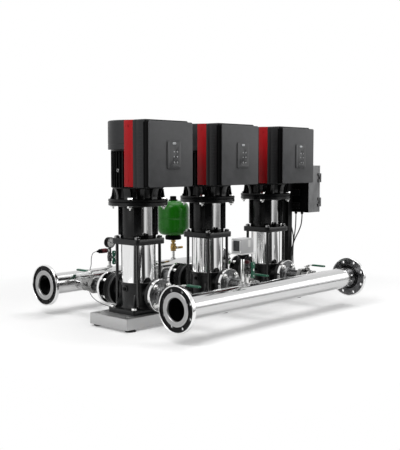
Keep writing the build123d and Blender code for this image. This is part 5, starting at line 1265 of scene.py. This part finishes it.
# Cable glands below the cabinet and grommets in the frame
work = bmesh.new()
GLAND_X = CABINET_LOW.x + 0.035
for y in (-0.088, -0.042, 0.003):
    gland = facing("-Z", GLAND_X, ROW_Y + y, CABINET_LOW.z)
    hexagon(work, 0.017, 0.005, gland)
    turned(work, disc(0.0078, 0.004, 0.007, 0.0006), gland, 32)
    dome = profile(0, (0, 6.5), (8.2, 6.5), (8.4, 8), (8, 10.5), (6.2, 13), (4.5, 14), (0, 14))
    turned(work, dome, gland, 32)
grommet = profile(0, (0, 0), (6.5, 0), (6.5, 1.5), (5.5, 3), (4.8, 5), (0, 5))
for x in (0.69, 0.7035, 0.717):
    turned(work, grommet, facing("+Z", MIDDLE_X + x, ROW_Y - 0.064, FRAME_TOP), 32)
gland = facing("+Y", MIDDLE_X - 0.418, ROW_Y + 0.14, 0.042)
hexagon(work, 0.0125, 0.006, gland)
turned(work, profile(0, (0, 5), (5.8, 5), (6.2, 7), (5.5, 12), (3.5, 14), (0, 14)), gland, 32)
piece("glands_and_grommets", work, [trim_black])

# Cords along the same points as their CAD tubes
CORDS = {
    "cabinet_cable_1": (
        0.007, 0.449,
        ((770, -88, 503), (770, -88, 452), (743, -84, 398), (707, -75, 345), (693, -60, 258),
         (690, -64, 163), (690, -64, 72)),
    ),
    "cabinet_cable_2": (
        0.007, 0.446,
        ((770, -42, 503), (770, -42, 452), (746, -54, 397), (714, -66, 344), (703, -59, 256),
         (703.5, -64, 163), (703.5, -64, 72)),
    ),
    "cabinet_cable_3": (
        0.007, 0.452,
        ((770, 3, 503), (770, 3, 452), (752, -30, 400), (729, -56, 350), (718, -58, 262),
         (717, -64, 163), (717, -64, 72)),
    ),
    "transmitter_cable": (
        0.004, 0.723,
        ((-348, 533, 315.15), (-380, 533, 315.15), (-388, 537, 275), (-380, 546, 236),
         (-366, 580, 208), (-362, 600, 160), (-366, 592, 103), (-377, 555, 62), (-390, 499, 45),
         (-402, 442, 36), (-411, 384, 32), (-417, 326, 31), (-419, 268, 34), (-418, 211, 42),
         (-418, 154, 42)),
    ),
}
for name, (diameter, length, route) in CORDS.items():
    curve = bpy.data.curves.new(name, "CURVE")
    curve.dimensions = "3D"
    curve.bevel_depth = diameter / 2
    curve.bevel_resolution = 5
    curve.resolution_u = 12
    curve.use_fill_caps = True
    line = curve.splines.new("NURBS")
    line.points.add(len(route) - 1)
    points = [(MIDDLE_X + x * MM, ROW_Y + y * MM, z * MM) for x, y, z in route]
    for knot, point in zip(line.points, points):
        knot.co = (*point, 1)
    line.order_u = 3
    line.use_endpoint_u = True
    curve.materials.append(sheath_grey if name == "transmitter_cable" else cable_black)
    made = bpy.data.objects.new(f"{name}_cord", curve)
    bpy.context.scene.collection.objects.link(made)
    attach(made, SET)
    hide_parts(name)


# Floor, light and camera

def seen_ray(tree):
    """Whether a ray shows the background: to the camera, in a gloss or through glass."""
    rays = tree.nodes.new("ShaderNodeLightPath")
    seen = math_node(tree, "ADD", rays.outputs["Is Camera Ray"], rays.outputs["Is Glossy Ray"])
    return math_node(tree, "ADD", seen, rays.outputs["Is Transmission Ray"], True)


floor_mesh = bpy.data.meshes.new("studio_floor")
floor_work = bmesh.new()
bmesh.ops.create_grid(floor_work, x_segments=1, y_segments=1, size=9)
bmesh.ops.translate(floor_work, vec=(7.45, 7.45, 0), verts=floor_work.verts)
floor_work.to_mesh(floor_mesh)
floor_work.free()
floor = bpy.data.objects.new("studio_floor", floor_mesh)
bpy.context.scene.collection.objects.link(floor)
floor_finish, tree, shader = new_finish("studio_paper")
paper = noise_node(tree, object_point(tree), 3.0, 2.0)
tone = mixed(tree, paper, (0.79, 0.79, 0.79), (0.81, 0.81, 0.81))
reach = tree.nodes.new("ShaderNodeVectorMath")
reach.operation = "LENGTH"
tree.links.new(object_point(tree), reach.inputs[0])
far_away = spread_node(tree, reach.outputs["Value"], 1.15, 1.9)
tone = mixed(tree, far_away, tone, (0.0, 0.0, 0.0))
tree.links.new(tone, shader.inputs["Base Color"])
shader.inputs["Roughness"].default_value = 1.0
shader.inputs["Specular IOR Level"].default_value = 0.0
shader.inputs["Emission Color"].default_value = (1, 1, 1, 1)
glow = math_node(tree, "MULTIPLY", seen_ray(tree), spread_node(tree, far_away, 0, 1, 0.2, 1.0))
tree.links.new(glow, shader.inputs["Emission Strength"])
floor_mesh.materials.append(floor_finish)


def lamp(name, energy, place, aim, size, size_y=None):
    light = bpy.data.lights.new(name, "AREA")
    light.energy = energy
    light.shape = "RECTANGLE"
    light.size = size
    light.size_y = size_y or size
    made = bpy.data.objects.new(name, light)
    made.location = place
    way = Vector(aim) - Vector(place)
    made.rotation_euler = way.to_track_quat("-Z", "Y").to_euler()
    bpy.context.scene.collection.objects.link(made)
    return made


key = lamp("key_soft", 70, (-3.0, -0.8, 3.5), (0, 0, 0.4), 1.8)
right_box = lamp("right_box", 20, (3.3, -2.7, 1.5), (0, 0, 0.3), 2.6, 1.6)
top_soft = lamp("top_soft", 108, (0.4, -0.2, 4.4), (0, 0, 0.3), 3.2)
left_strip = lamp("left_strip", 18, (-4.4, 0.7, 1.3), (0, 0, 0.6), 2.4, 2.4)
right_strip = lamp("right_strip", 44, (1.6, -4.2, 2.0), (0, 0, 0.6), 1.4, 2.4)

world = bpy.data.worlds.new("studio")
bpy.context.scene.world = world
world.use_nodes = True
tree = world.node_tree
sky = tree.nodes["Background"]
way = tree.nodes.new("ShaderNodeTexCoord").outputs["Generated"]
toward = []
for direction in ((-0.6, -0.8, 0.0), (0.73, -0.68, 0.0), (0.0, 0.0, 1.0)):
    node = tree.nodes.new("ShaderNodeVectorMath")
    node.operation = "DOT_PRODUCT"
    node.inputs[1].default_value = direction
    tree.links.new(way, node.inputs[0])
    toward.append(node.outputs["Value"])
# Dark on the camera's side and low on the right, for the metal; the camera sees white
room = spread_node(tree, toward[0], 0.74, 0.82, 1.0, 0.03)
side = spread_node(tree, toward[1], 0.8, 0.96, 0.0, 0.8)
low = spread_node(tree, toward[2], -0.05, 0.0, 1.0, 0.0)
side = math_node(tree, "SUBTRACT", 1.0, math_node(tree, "MULTIPLY", side, low))
room = math_node(tree, "MULTIPLY", room, side)
to_camera = tree.nodes.new("ShaderNodeLightPath").outputs["Is Camera Ray"]
room = math_node(tree, "MAXIMUM", room, to_camera)
grey = tree.nodes.new("ShaderNodeCombineColor")
for channel in range(3):
    tree.links.new(room, grey.inputs[channel])
tree.links.new(grey.outputs[0], sky.inputs["Color"])
level = spread_node(tree, seen_ray(tree), 0, 1, 0.28, 1.0)
tree.links.new(level, sky.inputs["Strength"])

lens = bpy.data.cameras.new("camera")
lens.lens = 63.83
lens.sensor_width = 36
lens.sensor_fit = "AUTO"
camera = bpy.data.objects.new("camera", lens)
camera.location = (-3.31329, -2.99164, 0.81797)
camera.rotation_euler = (radians(85.55), 0, radians(-47.12))
bpy.context.scene.collection.objects.link(camera)
bpy.context.scene.camera = camera
bpy.context.scene.view_settings.view_transform = "Standard"
